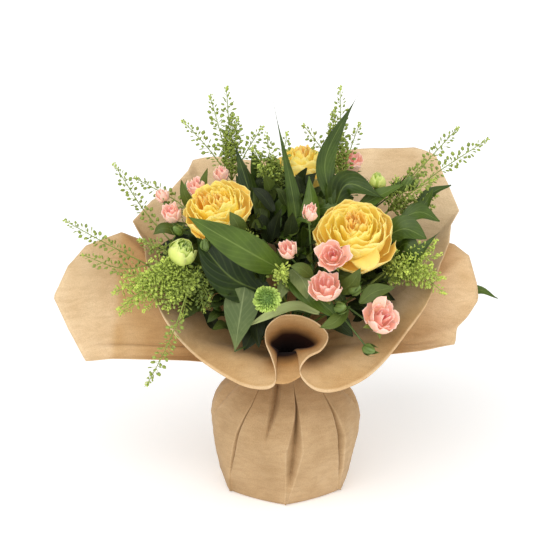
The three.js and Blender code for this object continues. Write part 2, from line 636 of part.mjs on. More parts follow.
function ring(radius, z, around) {
  return solidOf(new THREE.TorusGeometry(radius, CORD_R, 4, around)).translate([0, 0, z]);
}

keep("wrap", "wrap_outer_sheet", oneBody(outerSheet()));
keep("wrap", "wrap_inner_sheet", oneBody(innerSheet()));
keep("wrap", "wrap_tie", ring(TIE_R, TIE_Z, 22));
keep("twine", "stem_twine", ring(TWINE_R, NECK_Z, 16));

const stalked = [...SPRAYS, ...LISIANTHUS];
const openings = stalked.flatMap(({ plant, blooms }) => {
  return blooms.map((bloom, i) => {
    const node = plant.replace("green", `flower_${i + 1}`);
    return { ...bloom, plant, node, make: bloom.closed || bloom.size < HALF_OPEN ? halfOpen : sprayFlower };
  });
});
for (const { plant, at, size } of [...ROSES, ...openings, BUTTON]) reserve(plant, vec(...at), size * 0.95);

for (const one of ROSES) stem(one.plant, one.plant, one.slot, [...points(one.way), footOf(one)]);
stem(BUTTON.plant, BUTTON.plant, BUTTON.slot, [...points(BUTTON.way), footOf(BUTTON)]);
for (const { plant, slot, way, end } of FOLIAGE) stem(plant, plant, slot, points([...way, end]));
for (const { plant, slot, way, fork } of [...PENNYCRESS, ...stalked]) {
  stem(plant, plant, slot, points([...(way ?? []), fork]));
}
for (const bloom of openings) {
  const { fork } = stalked.find((one) => one.plant === bloom.plant);
  branch(bloom.plant, bloom.plant, [vec(...fork), footOf(bloom)], 1.1, 0.8);
}
for (const { plant, fork, buds } of stalked) {
  for (const [x, y, z, size] of buds) {
    const at = vec(x, y, z);
    branch(plant, plant, [vec(...fork), at], 0.9, 0.7);
    put(plant, plant, solidOf(new THREE.SphereGeometry(size, 6, 4).scale(1, 1, 1.25)).translate(at.toArray()));
  }
}
const racemes = PENNYCRESS.flatMap(({ plant, fork, tips }) => {
  return tips.map((tip) => ({ plant, way: branch(plant, plant, points([fork, ...tip]), 0.9, 0.45) }));
});
for (const one of ROSES) bloomAt(one.plant, { ...one, node: one.bloom, make: (size) => rose(size, 9, 3, 2) });
for (const bloom of openings) bloomAt(bloom.plant, bloom);

const buttonBall = new THREE.SphereGeometry(BUTTON.size, 10, 7);
put(BUTTON.plant, BUTTON.node, solidOf(buttonBall.scale(1, 1, 0.85)).translate(BUTTON.at));

for (const { plant, way, end, leaves } of FOLIAGE) {
  const line = new THREE.CatmullRomCurve3(points([...way, end]), false, "catmullrom", 0.5).getPoints(6);
  for (const [base, middle, tip, width, face] of leaves) {
    const root = vec(...base);
    const below = line.filter((p) => p.z < root.z + 3);
    const from = below.reduce((a, b) => (b.distanceTo(root) < a.distanceTo(root) ? b : a));
    const middlePoint = vec(...middle);
    keep(plant, plant, tube([from, root.clone().lerp(middlePoint, 0.1)], 0.9, 0.8, 3));
    put(plant, plant, leafBlade(root, middlePoint, vec(...tip), width, vec(...face).normalize(), 3));
  }
}
const strayFoot = vec(STRAY.radius, 0, NECK_Z - 6).applyAxisAngle(vec(0, 0, 1), STRAY.azimuth * RAD);
const strayWay = [strayFoot, strayFoot.clone().setZ(NECK_Z - 0.5), ...points([...STRAY.way, STRAY.base])];
put(STRAY.plant, STRAY.plant, tube(strayWay, 0.8, 0.8, 4));
const strayLine = points([STRAY.base, STRAY.middle, STRAY.tip]);
put(STRAY.plant, STRAY.plant, leafBlade(...strayLine, STRAY.width, vec(...STRAY.face), 2));

for (const { plant, way } of racemes) raceme(plant, way);

const bag = new THREE.LatheGeometry(BAG_PROFILE.map(([r, z]) => new THREE.Vector2(r, z)), 16);
bag.rotateX(Math.PI / 2);
const holes = placed.filter(({ box }) => box.min[2] < FOOT_Z + 1 && box.min[2] > 4).map(({ fat }) => fat);
nodes.set("water_bag", [holes.reduce((all, one) => all.subtract(one), solidOf(bag))]);

const group = new THREE.Group();
for (const [name, solids] of nodes) {
  const color = COLOURS.find(([pattern]) => pattern.test(name))[1];
  const body = oneBody(oneBody(join(solids)).simplify(SMOOTHED));
  const mesh = new THREE.Mesh(geometryOf(body), new THREE.MeshStandardMaterial({ color }));
  mesh.name = name;
  group.add(mesh);
}
export default group;
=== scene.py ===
"""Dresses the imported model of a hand-tied bouquet: paper wrap, flowers, greenery, camera and light.

Sizes are in millimetres, as in the part's own source, and become metres where a mesh is finished.
"""

import logging
import math
import random
from collections.abc import Callable, Sequence
from dataclasses import dataclass
from enum import Enum

import bmesh
import bpy
from mathutils import Matrix, Vector, noise

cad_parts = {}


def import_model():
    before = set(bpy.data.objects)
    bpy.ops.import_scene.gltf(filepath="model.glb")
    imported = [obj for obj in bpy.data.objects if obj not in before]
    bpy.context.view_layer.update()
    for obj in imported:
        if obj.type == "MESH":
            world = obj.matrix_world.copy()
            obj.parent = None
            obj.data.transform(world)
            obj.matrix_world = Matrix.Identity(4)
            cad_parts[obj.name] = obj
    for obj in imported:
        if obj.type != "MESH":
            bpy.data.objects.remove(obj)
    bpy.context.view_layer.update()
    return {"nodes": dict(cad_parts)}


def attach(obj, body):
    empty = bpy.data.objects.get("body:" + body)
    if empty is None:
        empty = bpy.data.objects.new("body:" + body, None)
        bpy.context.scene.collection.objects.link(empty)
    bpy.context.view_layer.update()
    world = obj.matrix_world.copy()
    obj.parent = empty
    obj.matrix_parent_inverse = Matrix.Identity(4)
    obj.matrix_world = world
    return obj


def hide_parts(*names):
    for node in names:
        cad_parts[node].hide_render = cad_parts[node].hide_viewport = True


LOG = logging.getLogger("bouquet")
MM = 0.001
GOLDEN = math.radians(137.508)
ROUND = 2.0 * math.pi
UP = Vector((0.0, 0.0, 1.0))
WELD = 0.002
NECK_Z = 140.0
# Rings of stems in the tie: how many stems, and the radius of the ring.
STEM_RINGS = ((1, 0.0), (7, 4.3), (15, 8.7))
STEM_SPREAD = 3.5
STEM_SPIRAL = math.radians(-40)
STEM_FOOT_Z = 9.0
PETAL_THICK = 0.3
# Way from one pod to the next, in a crowded and in an airy raceme.
CROWDED_STEP = 0.95
AIRY_STEP = 1.2
STEM_STEPS = 34
TUFT_BUDS = 14
TWIGS_PER_FILL = 4
# Small leaves of each foliage stem: how many are tried, and their material slot; slot 3 takes the darker leaf
# finish, painted shade for leaves deep inside the bunch.
SMALL_LEAVES = ((44, 3), (34, 1), (34, 4))

Point = Sequence[float]
Surface = Callable[[float, float], Vector]
Tone = Callable[[float, float], float]
Socket = bpy.types.NodeSocket
Tree = bpy.types.NodeTree
Forms = Sequence[bpy.types.Mesh]
# Radius of a stalk at its start and at its end.
Ends = tuple[float, float]


def mix(low: float, high: float, share: float) -> float:
    """Returns the value at share of the way from low to high."""
    return low + (high - low) * share


def smooth(low: float, high: float, value: float) -> float:
    """Returns 0 below low, 1 above high, and an even rise between."""
    share = min(1.0, max(0.0, (value - low) / (high - low)))
    return share * share * (3.0 - 2.0 * share)


def turned(radius: float, angle: float, height: float) -> Vector:
    """Returns the point at a radius, an angle in radians and a height."""
    return Vector((radius * math.cos(angle), radius * math.sin(angle), height))


def posed(at: Vector, axis: Vector, spin: float = 0.0) -> Matrix:
    """Returns the matrix that moves a form from the origin to a place, its +Z to axis, and spins it."""
    turn = UP.rotation_difference(axis.normalized()).to_matrix().to_4x4()
    return Matrix.Translation(at) @ turn @ Matrix.Rotation(spin, 4, "Z")


class Line:
    """A smooth line through points, measured along its own length."""

    def __init__(self, points: Sequence[Vector], closed: bool = False, steps: int = 14) -> None:
        """Samples the line.

        Args:
            points: The points it passes through.
            closed: Whether it runs back to its first point.
            steps: Samples from one point to the next.
        """
        if closed:
            ring = [points[-1], *points, points[0], points[1]]
        else:
            ring = [points[0] * 2 - points[1], *points, points[-1] * 2 - points[-2]]
        self.samples: list[Vector] = []
        for a, b, c, d in zip(ring, ring[1:], ring[2:], ring[3:]):
            for k in range(steps):
                t = k / steps
                bend = (a * 2 - b * 5 + c * 4 - d) * t * t + (b * 3 - a - c * 3 + d) * t**3
                self.samples.append((b * 2 + (c - a) * t + bend) * 0.5)
        self.samples.append((points[0] if closed else points[-1]).copy())
        self.runs = [0.0]
        for a, b in zip(self.samples, self.samples[1:]):
            self.runs.append(self.runs[-1] + (b - a).length)

    @property
    def length(self) -> float:
        """Returns the length in millimetres."""
        return self.runs[-1]

    def at(self, share: float) -> Vector:
        """Finds a point of the line.

        Args:
            share: Share of the length.

        Returns:
            The point.
        """
        aim = min(1.0, max(0.0, share)) * self.length
        low, high = 0, len(self.runs) - 1
        while high - low > 1:
            half = (low + high) // 2
            low, high = (half, high) if self.runs[half] <= aim else (low, half)
        part = (aim - self.runs[low]) / max(1e-9, self.runs[high] - self.runs[low])
        return self.samples[low].lerp(self.samples[high], part)

    def way(self, share: float) -> Vector:
        """Returns the direction of the line at a share of the length."""
        return (self.at(share + 0.01) - self.at(share - 0.01)).normalized()


def linear(colour: Point) -> tuple[float, float, float, float]:
    """Turns a colour into what the shader reads.

    Args:
        colour: Three values from 0 to 255.

    Returns:
        The linear colour with its alpha.
    """
    parts = [value / 255.0 for value in colour]
    flat = [p / 12.92 if p <= 0.04045 else ((p + 0.055) / 1.055) ** 2.4 for p in parts]
    return (*flat, 1.0)


class Nodes:
    """Short words for building a node tree."""

    def __init__(self, tree: Tree) -> None:
        """Works on that tree."""
        self.tree = tree

    def feed(self, into: Socket, value: object) -> None:
        """Feeds an input.

        Args:
            into: The input.
            value: Another node's output, a plain value, or a colour of three values from 0 to 255.
        """
        if isinstance(value, Socket):
            self.tree.links.new(value, into)
        else:
            into.default_value = linear(value) if into.type == "RGBA" else value

    def add(self, kind: str, **values: object) -> bpy.types.Node:
        """Adds a node.

        Args:
            kind: Its type.
            values: Its properties, and what its inputs are fed (spaces written as _).

        Returns:
            The node.
        """
        node = self.tree.nodes.new(kind)
        for key, value in values.items():
            if hasattr(node, key):
                setattr(node, key, value)
            else:
                self.feed(node.inputs[key.replace("_", " ")], value)
        return node

    def ramp(self, value: Socket, stops: Sequence[tuple[float, Point]]) -> Socket:
        """Maps a value to colours.

        Args:
            value: What is mapped.
            stops: Places from 0 to 1 with their colours from 0 to 255.

        Returns:
            The colour.
        """
        node = self.add("ShaderNodeValToRGB", Fac=value)
        elements = node.color_ramp.elements
        while len(elements) < len(stops):
            elements.new(0.5)
        for element, (place, colour) in zip(elements, stops):
            element.position = place
            element.color = linear(colour)
        return node.outputs["Color"]

    def blend(self, how: str, amount: object, one: Socket, two: object) -> Socket:
        """Blends two colours.

        Args:
            how: Blend type.
            amount: How much of the second, a number or an output.
            one: The first colour.
            two: The second colour, an output or three values from 0 to 255.

        Returns:
            The colour.
        """
        node = self.add("ShaderNodeMix", data_type="RGBA", blend_type=how)
        for place, value in ((0, amount), (6, one), (7, two)):
            self.feed(node.inputs[place], value)
        return node.outputs[2]

    def sum(self, how: str, one: object, two: object = 0.0) -> Socket:
        """Works out one or two values.

        Args:
            how: The operation.
            one: The first value, an output or a number.
            two: The second value, an output or a number.

        Returns:
            The result.
        """
        node = self.add("ShaderNodeMath", operation=how)
        self.feed(node.inputs[0], one)
        self.feed(node.inputs[1], two)
        return node.outputs[0]


class Coat(Nodes):
    """The nodes of one material, with its shader and the shared groups."""

    def __init__(self, tree: Tree, groups: dict[str, Tree]) -> None:
        """Starts from the material's own tree.

        Args:
            tree: That tree.
            groups: The shared shader groups.
        """
        super().__init__(tree)
        self.groups = groups
        self.shader = tree.nodes["Principled BSDF"]

    def group(self, name: str, **values: float) -> bpy.types.Node:
        """Places a shared group with values of its own."""
        return self.add("ShaderNodeGroup", node_tree=self.groups[name], **values)

    def kept(self, name: str) -> Socket:
        """Returns the value that the vertices keep under a name."""
        return self.add("ShaderNodeAttribute", attribute_name=name).outputs["Fac"]

    def where(self, kind: str) -> Socket:
        """Returns the coordinates of a kind, Object or UV."""
        return self.add("ShaderNodeTexCoord").outputs[kind]

    def rough(self, grain: bpy.types.Node, middle: float) -> Socket:
        """Returns a roughness that the grain varies round a middle value."""
        return self.sum("ADD", self.sum("MULTIPLY", grain.outputs["Grain"], 0.2), middle - 0.1)

    def relief(self, height: Socket, strength: float, deep: float) -> None:
        """Gives the surface a bump of a height, by its strength and its depth in metres."""
        bump = self.add("ShaderNodeBump", Height=height, Strength=strength, Distance=deep)
        self.give(Normal=bump.outputs["Normal"])

    def give(self, **inputs: object) -> None:
        """Feeds inputs of the shader (spaces written as _)."""
        for key, value in inputs.items():
            self.feed(self.shader.inputs[key.replace("_", " ")], value)


def make_group(
    name: str, inputs: Sequence[tuple[str, float]], outputs: Sequence[str]
) -> tuple[Nodes, bpy.types.Node, bpy.types.Node]:
    """Makes an empty shader node group.

    Args:
        name: Its name.
        inputs: Names and usual values of its number inputs.
        outputs: Names of its number outputs.
    """
    group = bpy.data.node_groups.new(name, "ShaderNodeTree")
    for title, value in inputs:
        group.interface.new_socket(title, in_out="INPUT", socket_type="NodeSocketFloat").default_value = value
    for title in outputs:
        group.interface.new_socket(title, in_out="OUTPUT", socket_type="NodeSocketFloat")
    kit = Nodes(group)
    return kit, kit.add("NodeGroupInput"), kit.add("NodeGroupOutput")


def mottle_group() -> Tree:
    """Builds the group for cloudy variation on Object coordinates: large clouds and fine grain.

    Returns:
        The group.
    """
    kit, entry, leave = make_group("mottle", [("Clouds", 30.0), ("Grain", 900.0)], ["Cloud", "Grain"])
    where = kit.add("ShaderNodeTexCoord").outputs["Object"]
    for title, source, detail in (("Cloud", "Clouds", 3.0), ("Grain", "Grain", 4.0)):
        scale = entry.outputs[source]
        texture = kit.add("ShaderNodeTexNoise", Vector=where, Scale=scale, Detail=detail, Roughness=0.6)
        kit.feed(leave.inputs[title], texture.outputs["Fac"])
    return kit.tree


def vein_group() -> Tree:
    """Builds the group for a leaf's midrib and side veins on its own UV map.

    Returns:
        The group.
    """
    inputs = [("Count", 9.0), ("Slant", 0.5), ("Rib", 0.05)]
    kit, entry, leave = make_group("veins", inputs, ["Midrib", "Veins"])
    split = kit.add("ShaderNodeSeparateXYZ", Vector=kit.add("ShaderNodeTexCoord").outputs["UV"])
    off = kit.sum("ABSOLUTE", kit.sum("SUBTRACT", split.outputs["X"], 0.5))
    rib = kit.sum("SUBTRACT", 1.0, kit.sum("DIVIDE", off, entry.outputs["Rib"]))
    kit.feed(leave.inputs["Midrib"], kit.sum("MAXIMUM", rib, 0.0))
    slanted = kit.sum("SUBTRACT", split.outputs["Y"], kit.sum("MULTIPLY", off, entry.outputs["Slant"]))
    wave = kit.sum("SINE", kit.sum("MULTIPLY", slanted, kit.sum("MULTIPLY", entry.outputs["Count"], ROUND)))
    kit.feed(leave.inputs["Veins"], kit.sum("POWER", kit.sum("MULTIPLY_ADD", wave, 0.5), 5.0))
    return kit.tree


@dataclass(frozen=True)
class Finish:
    """A finish: its name, and the nodes that its kind lays."""

    name: str

    def dress(self, coat: Coat) -> None:
        """Lays the nodes of the material."""
        raise NotImplementedError

    def build(self, groups: dict[str, Tree]) -> bpy.types.Material:
        """Makes the material.

        Args:
            groups: The shared shader groups.

        Returns:
            The material.
        """
        material = bpy.data.materials.new(self.name)
        material.use_nodes = True
        self.dress(Coat(material.node_tree, groups))
        return material


@dataclass(frozen=True)
class PetalFinish(Finish):
    """A petal: colour from the heart outwards, paler rim, fine veins along its length, and an emission of its
    own colour that paints a glow of light through it.
    """

    # Colour of the innermost petals: the flower's own heart colour; the yellow one's deeper orange gold also
    # paints the shade deep in the heart.
    heart: Point
    middle: Point
    outer: Point
    rim: Point
    # Colour at the foot of each petal: its own base colour; the yellow one's darker gold also paints the
    # shade deep between the petals.
    foot: Point
    # Strength of that emission: a painted glow, since the petal is no lamp.
    painted_glow: float
    reach: float

    def dress(self, coat: Coat) -> None:
        """Lays the nodes of the material.

        Args:
            coat: Its tree.
        """
        where = coat.where("UV")
        along = coat.add("ShaderNodeSeparateXYZ", Vector=where).outputs["Y"]
        high = coat.sum("POWER", along, 8.0)
        low = coat.sum("POWER", coat.sum("SUBTRACT", 1.0, along), 1.4)
        # Inner petals take the heart colour, partly painted shade deep in the flower.
        stops = [(0.0, self.heart), (self.reach, self.middle), (1.0, self.outer)]
        colour = coat.ramp(coat.kept("tone"), stops)
        colour = coat.blend("MIX", coat.sum("MULTIPLY", high, 0.4), colour, self.rim)
        # Towards its foot each petal turns to the foot colour, partly painted shade deep between the petals.
        colour = coat.blend("MIX", coat.sum("MULTIPLY", low, 0.72), colour, self.foot)
        cloud = coat.group("mottle", Clouds=70.0, Grain=2400.0).outputs["Cloud"]
        soft = coat.ramp(cloud, [(0.3, (226, 226, 226)), (0.7, (255, 255, 255))])
        colour = coat.blend("MULTIPLY", 0.6, colour, soft)
        lines = {"bands_direction": "X", "Scale": 9.0, "Distortion": 1.5, "Detail": 2.0}
        coat.relief(coat.add("ShaderNodeTexWave", Vector=where, **lines).outputs["Fac"], 0.12, 0.0004)
        # The emission is painted light: the petal glows in its own colour.
        coat.give(Base_Color=colour, Emission_Color=colour, Emission_Strength=self.painted_glow, Roughness=0.55)
        coat.give(Specular_IOR_Level=0.25, Subsurface_Weight=0.2, Subsurface_Radius=(0.004, 0.003, 0.001))


@dataclass(frozen=True)
class LeafFinish(Finish):
    """A leaf: dark and glossy above, a pale midrib and side veins."""

    dark: Point
    light: Point
    rib: Point
    gloss: float
    count: float

    def dress(self, coat: Coat) -> None:
        """Lays the nodes of the material.

        Args:
            coat: Its tree.
        """
        grain = coat.group("mottle", Clouds=45.0, Grain=1500.0)
        share = coat.sum("ADD", coat.sum("MULTIPLY", grain.outputs["Cloud"], 0.7), coat.kept("tone"))
        colour = coat.ramp(share, [(0.15, self.dark), (0.95, self.light)])
        lines = coat.group("veins", Count=self.count, Slant=0.9, Rib=0.035)
        rib, side = lines.outputs["Midrib"], lines.outputs["Veins"]
        colour = coat.blend("MIX", coat.sum("MULTIPLY", side, 0.06), colour, self.rib)
        colour = coat.blend("MIX", coat.sum("MULTIPLY", rib, 0.36), colour, self.rib)
        coat.relief(coat.sum("ADD", coat.sum("MULTIPLY", side, -0.5), rib), 0.35, 0.0006)
        coat.give(Base_Color=colour, Roughness=coat.rough(grain, self.gloss), Specular_IOR_Level=0.3)


@dataclass(frozen=True)
class SkinFinish(Finish):
    """A plain skin: stems, pods, buds, florets and twine, lighter where their tone is high."""

    low: Point
    high: Point
    dull: float = 0.5
    clouds: float = 120.0

    def dress(self, coat: Coat) -> None:
        """Lays the nodes of the material.

        Args:
            coat: Its tree.
        """
        grain = coat.group("mottle", Clouds=self.clouds, Grain=1800.0)
        share = coat.sum("ADD", coat.sum("MULTIPLY", grain.outputs["Cloud"], 0.5), coat.kept("tone"))
        coat.relief(grain.outputs["Grain"], 0.15, 0.0003)
        colour = coat.ramp(share, [(0.1, self.low), (1.0, self.high)])
        coat.give(Base_Color=colour, Roughness=coat.rough(grain, self.dull))


@dataclass(frozen=True)
class PaperFinish(Finish):
    """Soft kraft wrapping paper: cloudy tan, short fibres, fine creases, paler lines along the folds, and the
    light and shade that the vertices' shade value paints: darker towards the deep and throat colours, paler
    towards the light colour.
    """

    # Darkest colour of the painted shade, deep in the curl and below the neck.
    throat_shade: Point = (50, 18, 0)
    deep: Point = (184, 138, 84)
    body: Point = (208, 170, 120)
    light: Point = (236, 208, 168)
    dull: Point = (166, 134, 94)
    even: Point = (196, 165, 125)

    def dress(self, coat: Coat) -> None:
        """Lays the nodes of the material.

        Args:
            coat: Its tree.
        """
        grain = coat.group("mottle", Clouds=14.0, Grain=1100.0)
        # Cloud mottle plus the painted light and shade kept with the vertices.
        painted_light_and_shade = coat.sum("ADD", grain.outputs["Cloud"], coat.kept("shade"))
        share = coat.sum("MULTIPLY", coat.sum("ADD", painted_light_and_shade, 1.0), 0.5)
        warm, plain = (
            coat.ramp(share, [(0.2, self.throat_shade), (0.5, low), (0.72, high), (0.95, self.light)])
            for low, high in ((self.deep, self.body), (self.dull, self.even))
        )
        colour = coat.blend("MIX", coat.kept("tone"), warm, plain)
        fibre = coat.ramp(grain.outputs["Grain"], [(0.3, (214, 208, 200)), (0.62, (255, 255, 255))])
        colour = coat.blend("MULTIPLY", 0.55, colour, fibre)
        flat = coat.add("ShaderNodeMapping", Vector=coat.where("Object"), Scale=(60.0, 60.0, 260.0))
        cloth = {"Scale": 1.0, "Detail": 4.0, "Roughness": 0.6, "Distortion": 0.6}
        crease = coat.add("ShaderNodeTexNoise", Vector=flat.outputs["Vector"], **cloth).outputs["Fac"]
        streak = coat.ramp(crease, [(0.35, (232, 226, 218)), (0.6, (255, 255, 255))])
        colour = coat.blend("MULTIPLY", 0.5, colour, streak)
        coat.relief(coat.sum("ADD", coat.sum("MULTIPLY", grain.outputs["Grain"], 0.3), crease), 0.28, 0.0009)
        coat.give(Base_Color=colour, Roughness=0.82, Sheen_Weight=0.04, Specular_IOR_Level=0.15)


@dataclass(frozen=True)
class WaterFinish(Finish):
    """Clear film full of water."""

    def dress(self, coat: Coat) -> None:
        """Lays the nodes of the material.

        Args:
            coat: Its tree.
        """
        cloud = coat.group("mottle", Clouds=60.0, Grain=700.0).outputs["Cloud"]
        coat.relief(cloud, 0.4, 0.001)
        tint = coat.ramp(cloud, [(0.2, (188, 214, 214)), (0.8, (224, 236, 232))])
        coat.give(Base_Color=tint, Roughness=0.08, Alpha=0.45)


@dataclass(frozen=True)
class FloorFinish(Finish):
    """Pale, matt studio floor."""

    def dress(self, coat: Coat) -> None:
        """Lays the nodes of the material.

        Args:
            coat: Its tree.
        """
        cloud = coat.add("ShaderNodeTexNoise", Scale=3.0).outputs["Fac"]
        tint = coat.ramp(cloud, [(0.0, (244, 244, 243)), (1.0, (250, 250, 250))])
        coat.give(Base_Color=tint, Roughness=0.9, Emission_Color=(255, 255, 255), Emission_Strength=0.2)


class Look(Enum):
    """The finishes of the bouquet, with the record's slots."""

    PAPER = "kraft_paper"
    TWINE = "twine"
    WATER = "water"
    YELLOW = "yellow_petal"
    PINK = "pink_petal"
    CREAM = "cream_petal"
    LIME = "lime_floret"
    POD = "pennycress_green"
    LEAF = "dark_leaf"
    STEM = "stem_green"


FINISHES = {
    Look.PAPER: PaperFinish("kraft paper"),
    Look.WATER: WaterFinish("water in clear film"),
    Look.TWINE: SkinFinish("jute twine", (120, 92, 52), (190, 158, 104), 0.8, 300.0),
    Look.YELLOW: PetalFinish(
        "yellow petal", (244, 176, 26), (252, 228, 84), (242, 212, 108), (254, 243, 176), (226, 168, 48),
        0.12, 0.27,
    ),
    Look.PINK: PetalFinish(
        "pink petal", (216, 84, 100), (244, 166, 152), (251, 206, 188), (253, 228, 210), (238, 190, 140),
        0.14, 0.24,
    ),
    Look.CREAM: PetalFinish(
        "cream petal", (104, 146, 30), (170, 198, 62), (222, 230, 126), (240, 242, 180), (116, 158, 36),
        0.1, 0.42,
    ),
    Look.LIME: SkinFinish("lime floret", (70, 112, 30), (196, 222, 110), 0.55),
    Look.POD: SkinFinish("pennycress", (52, 76, 24), (208, 226, 102), 0.55),
    Look.LEAF: LeafFinish("dark leaf", (30, 48, 8), (96, 122, 36), (150, 170, 90), 0.38, 7.0),
    Look.STEM: SkinFinish("stem", (58, 84, 34), (136, 160, 78), 0.45),
}
ROSE_LEAF = LeafFinish("rose leaf", (44, 58, 18), (104, 120, 46), (134, 150, 80), 0.5, 6.0)
PALE_LEAF = LeafFinish("pale leaf", (80, 96, 50), (172, 182, 118), (176, 186, 132), 0.55, 7.0)
# A darker copy of the leaf finish: painted shade for the leaves deep inside the bunch.
LEAF_IN_PAINTED_SHADE = LeafFinish("leaf in painted shade", (18, 26, 6), (52, 66, 20), (84, 100, 44), 0.55, 6.0)


class Piece:
    """One Blender object in the making: grids, tubes and stamps in one mesh."""

    def __init__(self, name: str) -> None:
        """Starts an empty piece.

        Args:
            name: Its name.
        """
        self.name = name
        self.bm = bmesh.new()
        self.uv = self.bm.loops.layers.uv.new("UVMap")
        self.tone = self.bm.verts.layers.float.new("tone")
        self.shade = self.bm.verts.layers.float.new("shade")

    def surface(
        self,
        across: int,
        along: int,
        place: Surface,
        tone: float | Tone = 0.0,
        shade: float | Tone = 0.0,
        weld: bool = False,
        slot: int = 0,
        pose: Matrix | None = None,
    ) -> None:
        """Adds a grid laid on a surface.

        Args:
            across: Faces in the first direction.
            along: Faces in the second direction.
            place: Gives the point for the two shares, both from 0 to 1.
            tone: Value kept with each vertex, for its colour, or a function of the two shares.
            shade: A second such value; on the paper it holds painted light and shade.
            weld: Whether coinciding edges are joined, as in a tube.
            slot: Material slot of the faces.
            pose: Where the surface is moved to.
        """
        verts = bmesh.ops.create_grid(self.bm, x_segments=across, y_segments=along, size=0.5)["verts"]
        shares = {vert: (vert.co.x + 0.5, vert.co.y + 0.5) for vert in verts}
        for face in {face for vert in verts for face in vert.link_faces}:
            face.material_index = slot
            face.smooth = True
            for loop in face.loops:
                loop[self.uv].uv = shares[loop.vert]
        for vert, (u, v) in shares.items():
            point = place(u, v)
            vert.co = pose @ point if pose else point
            vert[self.tone] = tone(u, v) if callable(tone) else tone
            vert[self.shade] = shade(u, v) if callable(shade) else shade
        if weld:
            bmesh.ops.remove_doubles(self.bm, verts=verts, dist=WELD)

    def tube(self, line: Line, ends: Ends, sides: int = 7, steps: int = 24, tone: float = 0.0) -> None:
        """Adds a closed stalk along a line.

        Args:
            line: Its middle.
            ends: Radius at its start and at its end.
            sides: Faces round it.
            steps: Faces along it.
            tone: Value kept with each vertex.
        """
        side = Vector((0.83, 0.55, 0.1))
        rings: list[tuple[Vector, Vector, Vector, float]] = []
        for share in (i / steps for i in range(steps + 1)):
            way = line.way(share)
            side = (side - way * side.dot(way)).normalized()
            rings.append((line.at(share), side, way.cross(side), mix(*ends, share)))
        rings = [(*rings[0][:3], 0.0), *rings, (*rings[-1][:3], 0.0)]

        def place(u: float, v: float) -> Vector:
            """Returns the point of the stalk's skin."""
            middle, one, other, radius = rings[round(v * (steps + 2))]
            return middle + (one * math.cos(ROUND * u) + other * math.sin(ROUND * u)) * radius

        self.surface(sides, steps + 2, place, tone=tone, weld=True)

    def stamp(self, form: bpy.types.Mesh, pose: Matrix) -> None:
        """Adds a copy of a small mesh.

        Args:
            form: The mesh.
            pose: Where it is moved to.
        """
        copy = form.copy()
        copy.transform(pose)
        self.bm.from_mesh(copy)
        bpy.data.meshes.remove(copy)

    def mesh(self) -> bpy.types.Mesh:
        """Closes the piece.

        Returns:
            Its mesh.
        """
        mesh = bpy.data.meshes.new(self.name)
        self.bm.to_mesh(mesh)
        self.bm.free()
        return mesh

    def finish(
        self, shop: "Workshop", looks: Sequence[Look | Finish], node: str, thick: float = 0.0, slot: int = 0
    ) -> None:
        """Makes the object and ties it to the frame.

        Args:
            shop: What the pieces share.
            looks: The looks of its material slots.
            node: The CAD node that it stands for.
            thick: Thickness given to a single skin.
            slot: Not used.
        """
        if not thick:
            bmesh.ops.recalc_face_normals(self.bm, faces=self.bm.faces)
        self.bm.transform(Matrix.Scale(MM, 4))
        mesh = self.mesh()
        piece = bpy.data.objects.new(self.name, mesh)
        bpy.context.scene.collection.objects.link(piece)
        for look in looks:
            mesh.materials.append(shop.paints[look])
        if thick:
            skin = piece.modifiers.new("thickness", "SOLIDIFY")
            skin.thickness = thick * MM
            skin.offset = 0.0
        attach(piece, "root")
        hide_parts(node)
        LOG.info("%s: %d faces", self.name, len(mesh.polygons))


class RipenessAndShade(Enum):
    """How far the pods are: young and lime, ripe and grey green, and a darker kind, painted shade for the
    pods deep in the bunch.
    """

    YOUNG = 0.36
    RIPE = 0.12
    # Painted shade: a darker tone for pods deep in the bunch.
    SHADED = -0.12


def pod_and_bead(ripeness_and_shade: RipenessAndShade) -> tuple[bpy.types.Mesh, bpy.types.Mesh]:
    """Makes the two small forms of a raceme.

    Args:
        ripeness_and_shade: How far its pods are; the shaded kind is painted shade.

    Returns:
        A flat pod on its stalk along +Z, and a round bud.
    """
    pod, bead = Piece("pod form"), Piece("bead form")
    wide, thick, high = (1.95, 0.55, 2.35) if ripeness_and_shade is RipenessAndShade.RIPE else (1.6, 0.55, 2.1)
    stalk = Line([Vector((0, 0, 0)), Vector((0.25, 0, 2.5)), Vector((0, 0, 5.0))])
    pod.tube(stalk, (0.2, 0.2), sides=3, steps=2, tone=ripeness_and_shade.value + 0.35)
    for vert in bmesh.ops.create_icosphere(pod.bm, subdivisions=1, radius=1.0)["verts"]:
        x, y, z = vert.co
        vert.co = (x * wide, y * thick, z * high + 6.6 - 0.25 * abs(x))
        vert[pod.tone] = ripeness_and_shade.value + 0.22 * abs(vert.co.x) / wide
    for vert in bmesh.ops.create_icosphere(bead.bm, subdivisions=1, radius=0.75)["verts"]:
        vert[bead.tone] = ripeness_and_shade.value + 0.45
    for face in (*pod.bm.faces, *bead.bm.faces):
        face.smooth = True
    return pod.mesh(), bead.mesh()


class Workshop:
    """What the pieces share: the materials, and the small forms of the pennycress."""

    def __init__(self) -> None:
        """Makes them all."""
        groups = {"mottle": mottle_group(), "veins": vein_group()}
        kinds = {finish: finish for finish in (ROSE_LEAF, PALE_LEAF, LEAF_IN_PAINTED_SHADE)}
        self.paints = {look: finish.build(groups) for look, finish in {**FINISHES, **kinds}.items()}
        self.forms = {ripeness_and_shade: pod_and_bead(ripeness_and_shade) for ripeness_and_shade in RipenessAndShade}

    def clear(self) -> None:
        """Removes the forms once they are used."""
        for form in [form for pair in self.forms.values() for form in pair]:
            bpy.data.meshes.remove(form)


